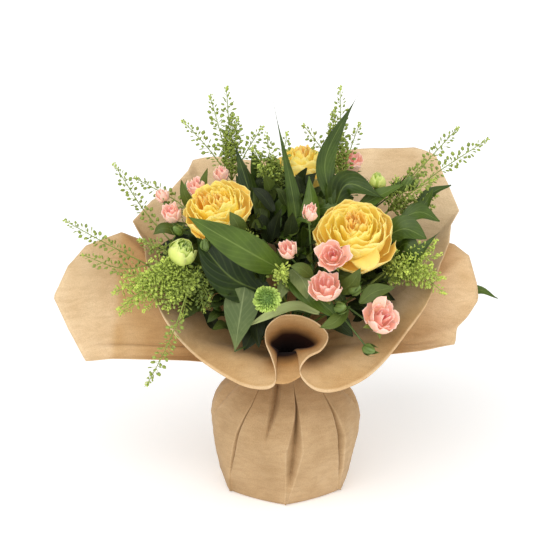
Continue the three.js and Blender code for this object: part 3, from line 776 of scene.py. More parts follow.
INNER_RIM = [
    (2, -71, 198), (-7, -72, 195), (-17, -76, 185), (-18, -82, 175), (-13, -90, 165), (-9, -97, 153),
    (-10, -102, 143), (-21, -107, 141), (-41, -108, 146), (-71, -98, 160), (-91, -84, 173), (-110, -62, 191),
    (-124, -35, 209), (-131, -5, 227), (-136, 30, 238), (-148, 55, 250), (-131, 82, 262), (-113, 100, 269),
    (-97, 115, 284), (-93, 135, 290), (-62, 148, 289), (-23, 154, 288), (16, 156, 289), (57, 154, 295),
    (92, 150, 300), (132, 138, 302), (152, 118, 298), (162, 88, 281), (170, 58, 258), (160, 35, 251),
    (156, 10, 241), (145, -20, 231), (135, -48, 213), (121, -68, 196), (102, -86, 173), (76, -100, 151),
    (54, -106, 141), (36, -107, 138), (22, -103, 142), (13, -97, 153), (20, -90, 164), (33, -84, 170),
    (39, -78, 181), (30, -73, 192), (16, -71, 198),
]
OUTER_RIM = [
    (0, -36, 140), (-40, -36, 138.5), (-80, -32, 139), (-137, -26, 137), (-189, -20, 136), (-206, -4, 163),
    (-220, 12, 193), (-208, 30, 218), (-193, 45, 231), (-160, 60, 237), (-141, 76, 225), (-112, 116, 228),
    (-60, 144, 236), (0, 152, 240), (62, 148, 238), (118, 116, 232), (150, 76, 225), (166, 52, 226),
    (179, 32, 219), (186, 16, 194), (187, 9, 181), (176, 0, 168), (164, -10, 160), (162, -20, 147),
    (137, -26, 146), (100, -30, 143), (45, -36, 138.5),
]


@dataclass(frozen=True)
class Corner:
    """A corner of the pouch: its azimuths at the floor and the shoulder, and how its fold runs."""

    floor: float
    shoulder: float
    depth: float
    # Strength of the painted shade in the recess of the fold.
    shade: float = 0.5
    half: float = 0.12
    turn: float = 0.7

    def azimuth(self, height: float) -> float:
        """Returns the azimuth at a height, in degrees."""
        return mix(self.floor, self.shoulder, (min(max(height, 0.0), 100.0) / 100.0) ** self.turn)


def straightened(points: Sequence[Point], straight: Callable[[Point], bool]) -> list[Vector]:
    """Keeps sides of an outline straight by points close to their ends.

    Args:
        points: Corners of a closed outline.
        straight: Whether the side after a corner is straight.

    Returns:
        The corners with the points added.
    """
    result = []
    for here, then in zip(points, [*points[1:], points[0]]):
        one, other = Vector(here), Vector(then)
        result += [one, one.lerp(other, 0.16), one.lerp(other, 0.84)] if straight(here) else [one]
    return result


def past_crease(point: Vector) -> float:
    """Returns how far a point of the left wing lies outside the crease that crosses it."""
    return -163.0 + 0.06 * (point.z - 170.0) - point.x


@dataclass
class PaperWrap:
    """The two sheets of paper with the cords that hold them."""

    paper: float = 0.5
    profile: tuple[Point, ...] = (
        (61, 0.4), (65, 12), (69.6, 33), (72.4, 65), (70.5, 80), (65, 93), (58, 102), (49, 111), (38, 121),
        (27, 131), (23.6, 136.5), (23, 140),
    )
    floor: tuple[float, float] = (60.0, 0.4)
    corners: tuple[Corner, ...] = (
        Corner(270, 281, 10, 0.5, 0.15), Corner(340, 312, 7, 0.6, 0.08, 0.35), Corner(395, 392, 9),
        Corner(450, 450, 9), Corner(510, 514, 9), Corner(568, 599, 4, 0.3, 0.03, 0.8),
        Corner(630, 641, 10, 0.5, 0.15),
    )
    short_folds: tuple[float, ...] = (0.0, 9.0, 7.0, 7.0, 7.0, 10.0)
    flats: tuple[float, ...] = (0.13, 0.05, 0.1, 0.1, 0.05, 0.13)
    fold_share: float = 0.1
    neck_radius: float = 23.0
    neck_gather: float = 1.5
    floor_end: float = 0.07
    neck_end: float = 0.58
    inner_radius: float = 15.4
    inner_gather: float = 1.1
    inner_foot: float = 12.0
    foot_end: float = 0.09
    lips: tuple[Point, Point] = ((-10, -102, 143), (15, -98.5, 150))
    tie_radius: float = 25.1
    tie_drop: float = 2.8
    twine_radius: float = 11.9
    ply_radius: float = 0.52
    ply_off: float = 0.48

    def pouch_point(self, u: float, radius: float, height: float) -> tuple[float, float]:
        """Finds a point of the pouch with its folds.

        Args:
            u: Share of the way round, in which every panel has an even part.
            radius: Radius of the plain profile.
            height: Height above the floor.

        Returns:
            Its azimuth in degrees and its radius.
        """
        sector = min(5, int(u * 6.0))
        local, fold_share = u * 6.0 - sector, self.fold_share
        here, then = self.corners[sector], self.corners[sector + 1]
        half = here.half if local < 0.5 else then.half
        width = max(0.012, half * min(height / 60.0, (118.0 - height) / 58.0, 1.0))
        share = mix(width, 1.0 - width, (local - fold_share) / (1.0 - 2.0 * fold_share))
        inside, depth = 0.0, 0.0
        if local < fold_share:
            share, inside, depth = width * local / fold_share, 1.0 - local / fold_share, here.depth
        elif local > 1.0 - fold_share:
            part = (1.0 - local) / fold_share
            share, inside, depth = 1.0 - width * part, 1.0 - part, then.depth
        azimuth = mix(here.azimuth(height), then.azimuth(height), share)
        reach = smooth(6, 44, height) * (1.0 - 0.75 * smooth(76, 122, height))
        fold = max(0.0, 1.0 - abs(local - 0.5) / (0.11 * smooth(66, 112, height) + 0.004))
        fold *= self.short_folds[sector] * smooth(66, 100, height) * (1.0 - 0.7 * smooth(118, 132, height))
        flat = self.flats[sector] * (1.0 - smooth(0, 75, height)) * (1.0 - (2.0 * local - 1.0) ** 2)
        gather = self.neck_gather * math.cos(math.radians(azimuth) * 20.0) * smooth(112, 132, height)
        return azimuth, radius * (1.0 - flat) - depth * inside * reach - fold - gather

    def outer_sheet(self, shop: "Workshop") -> None:
        """Builds the outer sheet: floor, pouch, gathered neck and the two wings.

        Args:
            shop: What the pieces share.
        """
        rim = Line(straightened(OUTER_RIM, lambda point: abs(point[0]) > 100), closed=True)
        profile = Line([Vector((r, 0.0, z)) for r, z in self.profile])
        floor, neck = self.floor_end, self.neck_end

        def pouch(u: float, v: float) -> Vector:
            """Returns the point of the pouch's wall."""
            spot = profile.at((v - floor) / (neck - floor))
            azimuth, radius = self.pouch_point(u, spot.x, spot.z)
            angle = math.radians(azimuth)
            free = smooth(0, 14, spot.z) * (1.0 - smooth(120, 136, spot.z))
            dent = noise.noise(Vector((math.cos(angle) * 3.4, math.sin(angle) * 3.4, spot.z * 0.03))) * 2.4
            dent += noise.noise(Vector((math.cos(angle) * 9, math.sin(angle) * 9, spot.z * 0.17))) * 0.7
            return turned(radius + dent * free, angle, spot.z)

        def wing(u: float, v: float) -> Vector:
            """Returns the point of the sheet past the neck."""
            azimuth, radius = self.pouch_point(u, self.neck_radius, NECK_Z)
            angle = math.radians(azimuth)
            t = ((v - neck) / (1.0 - neck)) ** 1.15
            end = rim.at((1.0 - (azimuth - 270.0) / 360.0) % 1.0)
            point = turned(radius, angle, NECK_Z).lerp(end, t)
            point.z += (-6.0 if end.z > 150 else 0.0) * math.sin(math.pi * t**1.3)
            radial = noise.noise(Vector((math.cos(angle) * 7, math.sin(angle) * 7, t * 1.2)))
            facet = noise.noise(Vector((point.x * 0.016, point.y * 0.016, point.z * 0.02 + 4)))
            point.z += (radial * 5.0 * (1.0 - t) + facet * 6.0 * (0.3 + 0.7 * t)) * smooth(0.03, 0.3, t)
            point.y -= 0.3 * max(0.0, past_crease(point)) - 0.25 * max(0.0, point.x - 160.0)
            return point

        def place(u: float, v: float) -> Vector:
            """Returns the point of the sheet."""
            if v < floor:
                azimuth, radius = self.pouch_point(u, *self.floor)
                return turned(radius * v / floor, math.radians(azimuth), self.floor[1])
            return pouch(u, v) if v <= neck else wing(u, v)

        def painted_light_and_shade(u: float, v: float) -> float:
            """Returns how much paler the paper is there: paler lines along the folds, painted shade in the
            folds' recesses, below the neck and on the wings near it, and painted light on the outer part of
            the wings.
            """
            if v <= neck:
                local = (u * 6.0) % 1.0
                off = min(local, 1.0 - local)
                edge = max(0.0, 1.0 - abs(off - 0.105) / 0.012)
                shade = self.corners[min(6, int(u * 6.0 + 0.5))].shade
                # Painted shade in the recess of each fold, as strong as its corner's shade.
                painted_fold_shade = shade * max(0.0, 1.0 - off / self.fold_share) ** 1.4 * smooth(0.1, 0.25, v)
                # Painted shade also darkens the top of the pouch, below the neck.
                return 0.2 * edge - painted_fold_shade - 1.1 * smooth(0.535, 0.58, v) - 0.12
            spot = wing(u, v)
            # Painted light on the wings: the left wing paler outside its crease, the right towards its end;
            # painted shade near the neck.
            left = mix(-0.06, 0.32, smooth(-5.0, 5.0, past_crease(spot)))
            tone = left if spot.x < 0.0 else 0.12 * smooth(100.0, 170.0, spot.x) + 0.08
            return mix(-0.4, tone, smooth(0.62, 0.82, v))

        piece = Piece("outer_sheet_of_wrapping_paper")
        piece.surface(360, 110, place, tone=lambda _, v: 1.0 - smooth(0.52, 0.62, v), shade=painted_light_and_shade, weld=True)
        piece.finish(shop, [Look.PAPER], "wrap_outer_sheet", self.paper)

    def inner_sheet(self, shop: "Workshop") -> None:
        """Builds the inner sheet: gathered foot, cone, curled front and turned edge.

        Args:
            shop: What the pieces share.
        """
        rim = Line(straightened(INNER_RIM, lambda point: point[2] > 235), closed=True)
        neck = self.foot_end

        def place(u: float, v: float) -> Vector:
            """Returns the point of the sheet."""
            angle = math.radians(270.0 + 360.0 * u)
            radius = self.inner_radius + self.inner_gather * math.cos(ROUND * 22 * u)
            if v <= neck:
                height = mix(NECK_Z - self.inner_foot, NECK_Z, v / neck)
                return turned(radius * mix(1.04, 1.0, v / neck), angle, height)
            t = (v - neck) / (1.0 - neck)
            edge = smooth(0.955, 1.0, t)
            t = min(1.0, t / 0.97)
            end = rim.at((1.0 - u) % 1.0)
            front = smooth(-10, 90, -end.y) * (1.0 - smooth(145, 195, end.z))
            low = 1.0 - smooth(188, 212, end.z)
            point = turned(radius, angle, NECK_Z).lerp(end, t)
            point.z += mix(-7.0, 12.0, front) * math.sin(math.pi * t**1.3)
            radial = noise.noise(Vector((math.cos(angle) * 6 + 3, math.sin(angle) * 6, t * 1.5)))
            facet = noise.noise(Vector((point.x * 0.02 + 9, point.y * 0.02, point.z * 0.02)))
            calm = 1.0 - 0.75 * front
            point.z += (radial * 4.0 * (1.0 - t) + facet * 5.0 * t) * smooth(0.02, 0.3, t) * calm
            point.z -= mix(0.4, 1.8, low) * edge * edge
            return point

        def far(u: float, v: float) -> float:
            """Returns 1 on the high back of the collar, where painted light makes the paper palest, and 0 at
            its front.
            """
            return smooth(0.2, 0.42, min(u, 1.0 - u)) * smooth(0.4, 0.9, v)

        def painted_light_and_shade(u: float, v: float) -> float:
            """Returns how much paler the paper is there: pale turned edge, line inside it, painted shade in
            the throat of the curl and near the foot, painted light on the high back, and painted light and
            shade in patches on the sides.
            """
            low = 1.0 - smooth(188, 212, rim.at((1.0 - u) % 1.0).z)
            front = smooth(0.085, 0.055, min(u, 1.0 - u))
            # Painted shade: a little darker near the foot all round, much darker deep in the throat of the
            # curl.
            throat_shade = mix(0.4 * (1.0 - smooth(0.12, 0.6, v)), 1.45 * (1.0 - smooth(0.5, 0.98, v)), front)
            line = max(0.0, 1.0 - abs(v - 0.95) / 0.008)
            lip = 0.24 * smooth(0.953, 0.964, v) - 0.2 * line
            # Painted light on the right of the collar, painted shade on the right lobe and on the left lobe.
            painted_patches = 0.16 * smooth(0.18, 0.24, u) * smooth(0.4, 0.34, u) * smooth(0.25, 0.6, v)
            painted_patches -= 0.06 * smooth(0.07, 0.09, u) * smooth(0.2, 0.16, u)
            painted_patches -= 0.1 * smooth(0.96, 0.93, u) * smooth(0.84, 0.88, u)
            return lip * mix(0.25, 1.0, low) - 0.02 - throat_shade + 0.34 * far(u, v) + painted_patches

        shares = [k / 500.0 for k in range(500)]
        left, right = (
            1.0 - min(shares, key=lambda s, lip=Vector(lip): (rim.at(s) - lip).length) for lip in self.lips
        )

        def tongue(u: float, v: float) -> Vector:
            """Returns the point of the overlap that closes the curl between its two lips."""
            share = mix(0.985, 0.16, v)
            point = place(left % 1.0, share).lerp(place(right % 1.0, share), u)
            point.z -= 3.4 * math.sin(math.pi * u) * (1.0 - v)
            return point

        piece = Piece("inner_sheet_of_wrapping_paper")
        piece.surface(440, 90, place, tone=lambda u, v: 0.5 * far(u, v), shade=painted_light_and_shade, weld=True)
        # The overlap that closes the curl is painted in shade, darkest towards its deep end.
        piece.surface(14, 50, tongue, shade=lambda _, v: -0.32 - 1.2 * smooth(0.05, 0.8, v))
        piece.finish(shop, [Look.PAPER], "wrap_inner_sheet", self.paper)

    def cord(self, shop: "Workshop", name: str, node: str, radius: float, height: float) -> None:
        """Builds a cord of two plies laid round the neck.

        Args:
            shop: What the pieces share.
            name: Name of the piece.
            node: The CAD node that it stands for.
            radius: Radius of its ring.
            height: Height of the ring.
        """
        piece = Piece(name)
        turns, off = round(radius * 1.1), self.ply_off
        for ply in range(2):
            points = []
            for i in range(turns * 8):
                angle, twist = ROUND * i / (turns * 8), ROUND * i / 8 + math.pi * ply
                points.append(turned(radius + off * math.cos(twist), angle, height + off * math.sin(twist)))
            strand = Line(points, closed=True, steps=2)
            ends = (self.ply_radius, self.ply_radius)
            piece.tube(strand, ends, sides=6, steps=turns * 14, tone=0.3 * ply)
        piece.finish(shop, [Look.TWINE], node)

    def build(self, shop: "Workshop") -> None:
        """Builds all of it.

        Args:
            shop: What the pieces share.
        """
        self.outer_sheet(shop)
        self.inner_sheet(shop)
        self.cord(shop, "cord_round_the_wrap", "wrap_tie", self.tie_radius, NECK_Z - self.tie_drop)
        self.cord(shop, "twine_round_the_stems", "stem_twine", self.twine_radius, NECK_Z)


def stem_line(slot: tuple[int, int], way: Sequence[Point]) -> Line:
    """Lays out the middle of a cut stem.

    Args:
        slot: Its ring in the bundle and its place there.
        way: Points from the tie up to its end.

    Returns:
        The line from its foot to its end.
    """
    count, radius = STEM_RINGS[slot[0]]
    neck = turned(radius, ROUND * slot[1] / count, NECK_Z)
    foot = Matrix.Rotation(STEM_SPIRAL, 3, "Z") @ (Vector((neck.x, neck.y, 0.0)) * STEM_SPREAD)
    foot.z = STEM_FOOT_Z
    above = Vector((neck.x * 1.3, neck.y * 1.3, NECK_Z + 14.0))
    low = [foot.lerp(neck, t) for t in (0.0, 0.33, 0.66, 1.0)]
    end = Vector(way[-1])
    mids = [Vector(p) for p in way[:-1]] or [above.lerp(end, 0.5) + UP * 7]
    return Line([*low, above, *mids, end])


@dataclass(frozen=True)
class Leaf:
    """A leaf, sepal or loose petal: base, middle, tip, width and the way its upper side looks.

    Drawn is 1 for an even blade and more for a long tip. Fold is the rise of the edges as a share of the
    half width, wave the height of the edge's waves, and light is added to the tone; a light below 0 darkens
    a leaf as painted shade, for the leaves under others and inside the bunch. Blunt is 0 for a leaf, and
    from 1 on for a blade that is widest near a round tip.
    """

    base: Point
    middle: Point
    tip: Point
    width: float
    face: Point
    drawn: float = 1.0
    slot: int = 1
    fold: float = 0.22
    wave: float = 1.0
    light: float = 0.0
    blunt: float = 0.0

    def add(self, piece: Piece, tone: float, across: int = 10, along: int = 22) -> None:
        """Adds the blade.

        Args:
            piece: The mesh that takes it.
            tone: Value kept for its colour.
            across: Faces across.
            along: Faces along.
        """
        spine = Line([Vector(self.base), Vector(self.middle), Vector(self.tip)])
        face = Vector(self.face).normalized()

        def place(u: float, v: float) -> Vector:
            """Returns a point of the blade."""
            way, span = spine.way(v), 1.0 - 2.0 * u
            side = way.cross(face).normalized()
            slim = (1.0 - v * v) ** max(0.0, self.drawn - 1.0)
            rise, flat = (self.blunt, 0.55) if self.blunt else (0.85, 0.9)
            even = math.sin(math.pi * (0.03 + 0.97 * v) ** rise) ** flat
            half = 0.5 * self.width * max(0.015, even * slim)
            lift = self.fold * abs(span) ** 1.4 * half
            lift += self.wave * math.sin(v * 9.0 + span * 2.0) * abs(span) ** 2
            return spine.at(v) + side * (span * half) + side.cross(way) * lift

        piece.surface(across, along, place, slot=self.slot, tone=tone + self.light)


@dataclass(frozen=True)
class PetalCut:
    """How the petals of a kind of flower are cut. Lengths are shares of the flower's radius.

    Even spreads the petals from the heart outwards. The two halves are the half angles that an inner and
    an outer petal cover, in degrees. Drop is how much lower the outer rims stand, curl how far they roll
    back, ruffle the height of their waves and point how far their middle stands out. Open is how far the
    outer rims reach, tall the height of a petal and belly the width of the cup.
    """

    even: float
    inner_half: float
    outer_half: float
    drop: float
    curl: float
    ruffle: float
    point: float
    open: float
    tall: float
    belly: float

    def place(
        self, size: float, order: float, half: float, close: float, wild: float, u: float, v: float
    ) -> Vector:
        """Finds a point of a petal round +Z, facing +X.

        Args:
            size: Radius of the flower.
            order: 0 for the innermost petal, 1 for the outermost.
            half: Half angle that it covers, in radians.
            close: 0 for an open flower, 1 for a closed bud.
            wild: The petal's own number, for the run of its rim.
            u: Share across.
            v: Share along.

        Returns:
            The point.
        """
        across = 2.0 * u - 1.0
        t = v * (1.0 - (self.point + 0.12 * order) * across * across * v * v)
        t -= self.ruffle * v**4 * math.sin(across * 6.5 + wild * 9.0)
        foot = 0.05 + 0.12 * order
        belly = 0.16 + (1.0 - 0.25 * close) * self.belly * order
        lip = (0.1 + self.open * order) * (1.0 - 0.55 * close)
        top = self.tall - self.drop * order * order + 0.3 * close
        curl = self.curl * order * (1.0 - close) * max(0.0, t - 0.66) ** 1.2
        curl *= 0.8 + 0.4 * math.sin(wild * 5.0)
        radius = (1.0 - t) ** 2 * foot + 2.0 * t * (1.0 - t) * belly + t * t * lip + curl * 1.5
        radius += self.ruffle * v**3 * math.sin(across * 7.0 + wild * 57.0) * (0.35 + 0.65 * order)
        radius += 0.4 * self.ruffle * v**5 * math.sin(across * 19.0 + wild * 31.0)
        height = 2.0 * t * (1.0 - t) * 0.08 * top + t * t * top - curl * 1.2
        angle = across * half * (0.55 + 0.45 * math.sin(math.pi * min(0.5, v)))
        return turned(radius * (1.0 + 0.06 * across) * size, angle, height * size)


ROSE_CUT = PetalCut(
    even=1.3, inner_half=84.0, outer_half=58.0, drop=0.5, curl=0.5,
    ruffle=0.055, point=0.05, open=0.84, tall=1.34, belly=1.16,
)
SPRAY_CUT = PetalCut(
    even=0.75, inner_half=84.0, outer_half=46.0, drop=0.26, curl=0.62,
    ruffle=0.075, point=0.46, open=0.84, tall=1.3, belly=1.0,
)
GLOBE_CUT = PetalCut(
    even=0.8, inner_half=76.0, outer_half=56.0, drop=0.3, curl=0.0,
    ruffle=0.05, point=0.06, open=0.42, tall=1.6, belly=1.32,
)


@dataclass
class Flower:
    """An open flower: place, way up, size, petals, how far it is closed, cut, hearts and loose petals."""

    at: Point
    axis: Point
    size: float
    petals: int
    close: float = 0.0
    cut: PetalCut = SPRAY_CUT
    hearts: int = 1
    loose: Sequence[Leaf] = ()

    def below(self, share: float) -> Vector:
        """Returns the point below the middle by a share of the size."""
        return Vector(self.at) - self.way * (share * self.size)

    @property
    def way(self) -> Vector:
        """Returns the direction in which the flower looks."""
        return Vector(self.axis).normalized()

    @property
    def base(self) -> Vector:
        """Returns the point where the petals leave the cup."""
        return self.below(0.55)

    @property
    def foot(self) -> Vector:
        """Returns the point where the stalk ends."""
        return self.below(0.8)

    def add_petals(self, piece: Piece, faces: int, seed: int) -> None:
        """Adds all its petals.

        Args:
            piece: The mesh that takes them.
            faces: Faces across and along a petal.
            seed: Seed of the small differences between petals.
        """
        chance = random.Random(seed)
        spin = chance.uniform(0.0, 6.28)
        for i in range(self.petals):
            order = (i / (self.petals - 1)) ** self.cut.even
            half = math.radians(mix(self.cut.inner_half, self.cut.outer_half, order))
            half *= chance.uniform(0.92, 1.12)
            pose = posed(self.base, self.way, spin + i * GOLDEN)
            if self.hearts > 1 and order < 0.45:
                shift = turned(self.size * 0.24, spin + math.pi * (i % self.hearts), 0.0)
                pose = posed(self.base, self.way, spin) @ Matrix.Translation(shift)
                pose = pose @ Matrix.Rotation(i * GOLDEN, 4, "Z")
            pose = pose @ Matrix.Rotation(chance.uniform(-0.07, 0.07), 4, "X")
            pose = pose @ Matrix.Rotation(chance.uniform(-0.05, 0.12) * (0.4 + order), 4, "Y")
            pose = pose @ Matrix.Translation(UP * (chance.uniform(-0.04, 0.04) * self.size))
            form = (self.size, order, half, self.close, chance.uniform(0.0, 1.0))
            tone = min(1.0, order + 0.25 * self.close)
            piece.surface(faces, faces, lambda u, v, f=form: self.cut.place(*f, u, v), tone=tone, pose=pose)
        for petal in self.loose:
            petal.add(piece, 0.96)

    def add_cup(self, piece: Piece, seed: int, sepal: float = 0.95) -> None:
        """Adds the green cup with its sepals.

        Args:
            piece: The mesh that takes them.
            seed: Seed of the sepals' small differences.
            sepal: Length of a sepal, as a share of the size.
        """
        chance = random.Random(seed)
        size, close = self.size, self.close
        pose = posed(self.base, self.way)

        def hip(u: float, v: float) -> Vector:
            """Returns a point of the swollen cup."""
            radius = 0.0 if v in (0.0, 1.0) else size * (0.05 + 0.22 * math.sin(math.pi * (0.12 + 0.78 * v)))
            return turned(radius, ROUND * u, size * mix(-0.46, 0.02, v))

        piece.surface(10, 8, hip, weld=True, pose=pose, tone=0.35)
        for k in range(5):
            angle = math.radians(72 * k + chance.uniform(-8, 8))
            droop = chance.uniform(-0.25, 0.3) - 0.5 * (1.0 - close) + 0.3 * close
            base = turned(size * 0.12, angle, size * -0.1)
            middle = turned(size * mix(0.55, 0.42, close), angle, size * mix(-0.1, 0.2, close))
            reach = 0.1 + sepal * mix(0.8, 0.45, close)
            tip = turned(size * reach, angle, size * (droop * 0.5 + 0.6 * close))
            leaf = Leaf(pose @ base, pose @ middle, pose @ tip, size * 0.34, self.way, 1.3, 0, 0.3, 0.0)
            leaf.add(piece, 0.3 + chance.uniform(0.0, 0.2), 4, 8)


@dataclass
class Rose:
    """A large rose: petals and the green below them."""

    name: str
    slot: tuple[int, int]
    way: Sequence[Point]
    flower: Flower
    leaves: Sequence[Leaf] = ()
    stem: Ends = (1.9, 1.7)
    faces: int = 14

    def build(self, shop: Workshop, seed: int) -> None:
        """Builds the head and its stem.

        Args:
            shop: What the pieces share.
            seed: Seed of the small differences between petals.
        """
        head, green = Piece(f"{self.name}_rose_petals"), Piece(f"{self.name}_rose_stem")
        self.flower.add_petals(head, self.faces, seed)
        head.finish(shop, [Look.YELLOW], f"rose_{self.name}_petals", PETAL_THICK)
        green.tube(stem_line(self.slot, [*self.way, self.flower.foot]), self.stem, steps=40)
        self.flower.add_cup(green, seed)
        for leaf in self.leaves:
            leaf.add(green, 0.2)
        green.finish(shop, [Look.STEM, ROSE_LEAF], f"rose_{self.name}_green")


@dataclass
class Spray:
    """A stem that forks into small flowers and closed buds, each bud a place and a radius."""

    name: str
    node: str
    slot: tuple[int, int]
    fork: Point
    flowers: Sequence[Flower]
    buds: Sequence[tuple[float, float, float, float]]
    look: Look = Look.PINK
    leaves: Sequence[Leaf] = ()
    bud_long: float = 1.5
    stem: Ends = (1.6, 1.2)
    stalk: Ends = (1.1, 0.8)
    bud_stalk: Ends = (0.9, 0.7)
    faces: int = 8

    def add_stalk(self, green: Piece, end: Vector, rise: float, ends: Ends, steps: int) -> None:
        """Adds a stalk from the fork.

        Args:
            green: The mesh that takes it.
            end: Where it ends.
            rise: How far its middle is bent up.
            ends: Radius at its start and at its end.
            steps: Faces along it.
        """
        fork = Vector(self.fork)
        green.tube(Line([fork, fork.lerp(end, 0.5) + UP * rise, end]), ends, steps=steps)

    def add_bud(self, piece: Piece, at: Vector, size: float) -> None:
        """Adds a closed bud with its hugging sepals.

        Args:
            piece: The mesh that takes it.
            at: Place of its middle.
            size: Radius of the bud.
        """
        pose = posed(at, ((at - Vector(self.fork)).normalized() + UP * 0.5).normalized())
        long = size * self.bud_long

        def skin(u: float, v: float) -> Vector:
            """Returns a point of the bud's skin."""
            radius = size * math.sin(math.pi * v) ** 0.7 * (1.0 - 0.35 * v)
            radius *= 1.0 + 0.08 * math.cos(ROUND * 5.0 * u)
            return turned(0.0 if v in (0.0, 1.0) else radius, ROUND * u, long * (2.0 * v - 0.9))

        piece.surface(15, 10, skin, weld=True, pose=pose, tone=0.35)
        for angle in (math.radians(72 * k) for k in range(5)):
            base, middle = turned(size * 0.35, angle, long * -0.85), turned(size * 1.06, angle, 0.0)
            tip = turned(size * 0.75, angle + 0.25, long * 1.35)
            out = pose.to_3x3() @ turned(1.0, angle, 0.0)
            leaf = Leaf(pose @ base, pose @ middle, pose @ tip, size * 0.9, out, 1.5, 0, -0.2, 0.0)
            leaf.add(piece, 0.2, 4, 8)

    def build(self, shop: Workshop, seed: int) -> None:
        """Builds the stem and every flower on it.

        Args:
            shop: What the pieces share.
            seed: Seed of the small differences between petals.
        """
        green = Piece(f"{self.name}_stem")
        green.tube(stem_line(self.slot, [self.fork]), self.stem, steps=STEM_STEPS)
        for flower in self.flowers:
            self.add_stalk(green, flower.foot, 3, self.stalk, 12)
        for *place, size in self.buds:
            self.add_stalk(green, Vector(place), 4, self.bud_stalk, 10)
            self.add_bud(green, Vector(place), size)
        for i, flower in enumerate(self.flowers):
            flower.add_cup(green, seed + i, sepal=1.05)
            head = Piece(f"{self.name}_flower_{i + 1}")
            flower.add_petals(head, self.faces, seed * 7 + i)
            head.finish(shop, [self.look], f"{self.node}_flower_{i + 1}", PETAL_THICK)
        for leaf in self.leaves:
            leaf.add(green, 0.2)
        green.finish(shop, [Look.STEM, ROSE_LEAF], f"{self.node}_green")


@dataclass
class Pennycress:
    """A stem of pennycress with its racemes of flat pods."""

    name: str
    slot: tuple[int, int]
    fork: Point
    tips: Sequence[Sequence[Point]]
    way: Sequence[Point] = ()
    dense: Sequence[int] = ()
    fill: Sequence[tuple[Point, RipenessAndShade]] = ()
    twigs: int = 5
    loose: float = 13.0
    stem: Ends = (1.5, 1.0)
    branch: Ends = (0.75, 0.3)
    thin: Ends = (0.55, 0.3)

    def raceme(self, piece: Piece, forms: Forms, line: Line, step: float, seed: int) -> None:
        """Adds pods round the outer part of a branch, and the tuft at its tip.

        Args:
            piece: The mesh that takes them.
            forms: The forms of a pod and of a bud.
            line: Middle of the branch.
            step: Way from one pod to the next.
            seed: Seed of the small differences.
        """
        chance = random.Random(seed)
        count = int(min(line.length * 0.92, 72.0) / step)
        for i in range(count):
            share = 1.0 - (i + 0.5) * step / line.length
            root, along = line.at(share), line.way(share)
            side = along.orthogonal().normalized()
            side.rotate(Matrix.Rotation(i * GOLDEN + chance.uniform(-0.3, 0.3), 3, along))
            part = i / count
            tilt = math.radians(mix(34, 68, smooth(0.0, 0.35, part)) + chance.uniform(-8, 8))
            out = along * math.cos(tilt) + side * math.sin(tilt)
            grown = mix(0.45, 1.0, smooth(0.02, 0.3, part)) * chance.uniform(0.88, 1.06)
            piece.stamp(forms[0], posed(root, out, chance.uniform(0, 6.28)) @ Matrix.Scale(grown, 4))
        for _ in range(TUFT_BUDS):
            offset = Vector([chance.gauss(0, 0.9) for _ in range(3)])
            offset += line.way(1.0) * chance.uniform(-2.5, 1.5)
            piece.stamp(forms[1], Matrix.Translation(line.at(1.0) + offset))

    def twig(self, piece: Piece, forms: Forms, start: Vector, end: Vector, seed: int) -> None:
        """Adds a short side twig with its crowded raceme.

        Args:
            piece: The mesh that takes it.
            forms: The forms of a pod and of a bud.
            start: Where the twig leaves.
            end: Where it ends.
            seed: Seed of the small differences.
        """
        twig = Line([start, start.lerp(end, 0.5) + UP * 3.0, end])
        piece.tube(twig, self.thin, sides=4, steps=8, tone=0.25)
        self.raceme(piece, forms, twig, CROWDED_STEP, seed)

    def build(self, shop: Workshop, seed: int) -> None:
        """Builds the stem, its branches and their pods.

        Args:
            shop: What the pieces share.
            seed: Seed of the small differences.
        """
        piece = Piece(f"{self.name}_sprays")
        chance = random.Random(seed)
        line = stem_line(self.slot, [*self.way, self.fork])
        piece.tube(line, self.stem, steps=STEM_STEPS, tone=0.1)
        fork = Vector(self.fork)
        for k, tip in enumerate(self.tips):
            points = [fork, *[Vector(p) for p in tip]]
            if len(points) == 2:
                points.insert(1, points[0].lerp(points[1], 0.5) + UP * 3)
            line = Line(points)
            piece.tube(line, self.branch, sides=5, steps=14, tone=0.15)
            dense = k in self.dense
            forms = shop.forms[RipenessAndShade.YOUNG if dense else RipenessAndShade.RIPE]
            self.raceme(piece, forms, line, CROWDED_STEP if dense else AIRY_STEP, seed * 31 + k)
            for _ in range(self.twigs if dense else 0):
                spread = Vector((chance.uniform(-16, 16), chance.uniform(-4, 16), chance.uniform(-15, 15)))
                end = line.at(1.0) + spread - line.way(1.0) * chance.uniform(4, 26)
                start = line.at(chance.uniform(0.05, 0.5))
                self.twig(piece, forms, start, end, chance.randrange(10000))
        for at, ripeness_and_shade in self.fill:
            for _ in range(TWIGS_PER_FILL):
                aside, rise = chance.uniform(-self.loose, self.loose), chance.uniform(-self.loose, self.loose)
                end = Vector(at) + Vector((aside, chance.uniform(-3, 10), rise))
                self.twig(piece, shop.forms[ripeness_and_shade], fork, end, chance.randrange(10000))
        piece.finish(shop, [Look.POD], self.name)


def clear_of_flowers(points: Sequence[Vector]) -> bool:
    """Returns whether points stay away from every flower, so that small leaves don't cover one."""
    heads = [rose.flower for rose in ROSES] + [flower for spray in SPRAYS for flower in spray.flowers]
    return all((point - Vector(head.at)).length > head.size * 1.12 for point in points for head in heads)


def above_paper(points: Sequence[Vector], gap: float = 9.0) -> list[Vector]:
    """Lifts a leaf off the collar.

    Args:
        points: Its points.
        gap: How far it stays from the paper.

    Returns:
        The points, raised together where one was too near.
    """
    lift = 0.0
    for point in points:
        reach = math.hypot(point.x, point.y)
        back = point.y / max(reach, 1.0)
        slope = 0.7 + (0.3 if back > 0.0 else 0.7) * back
        lift = max(lift, NECK_Z + slope * reach + gap - point.z)
    return [point + UP * lift for point in points]


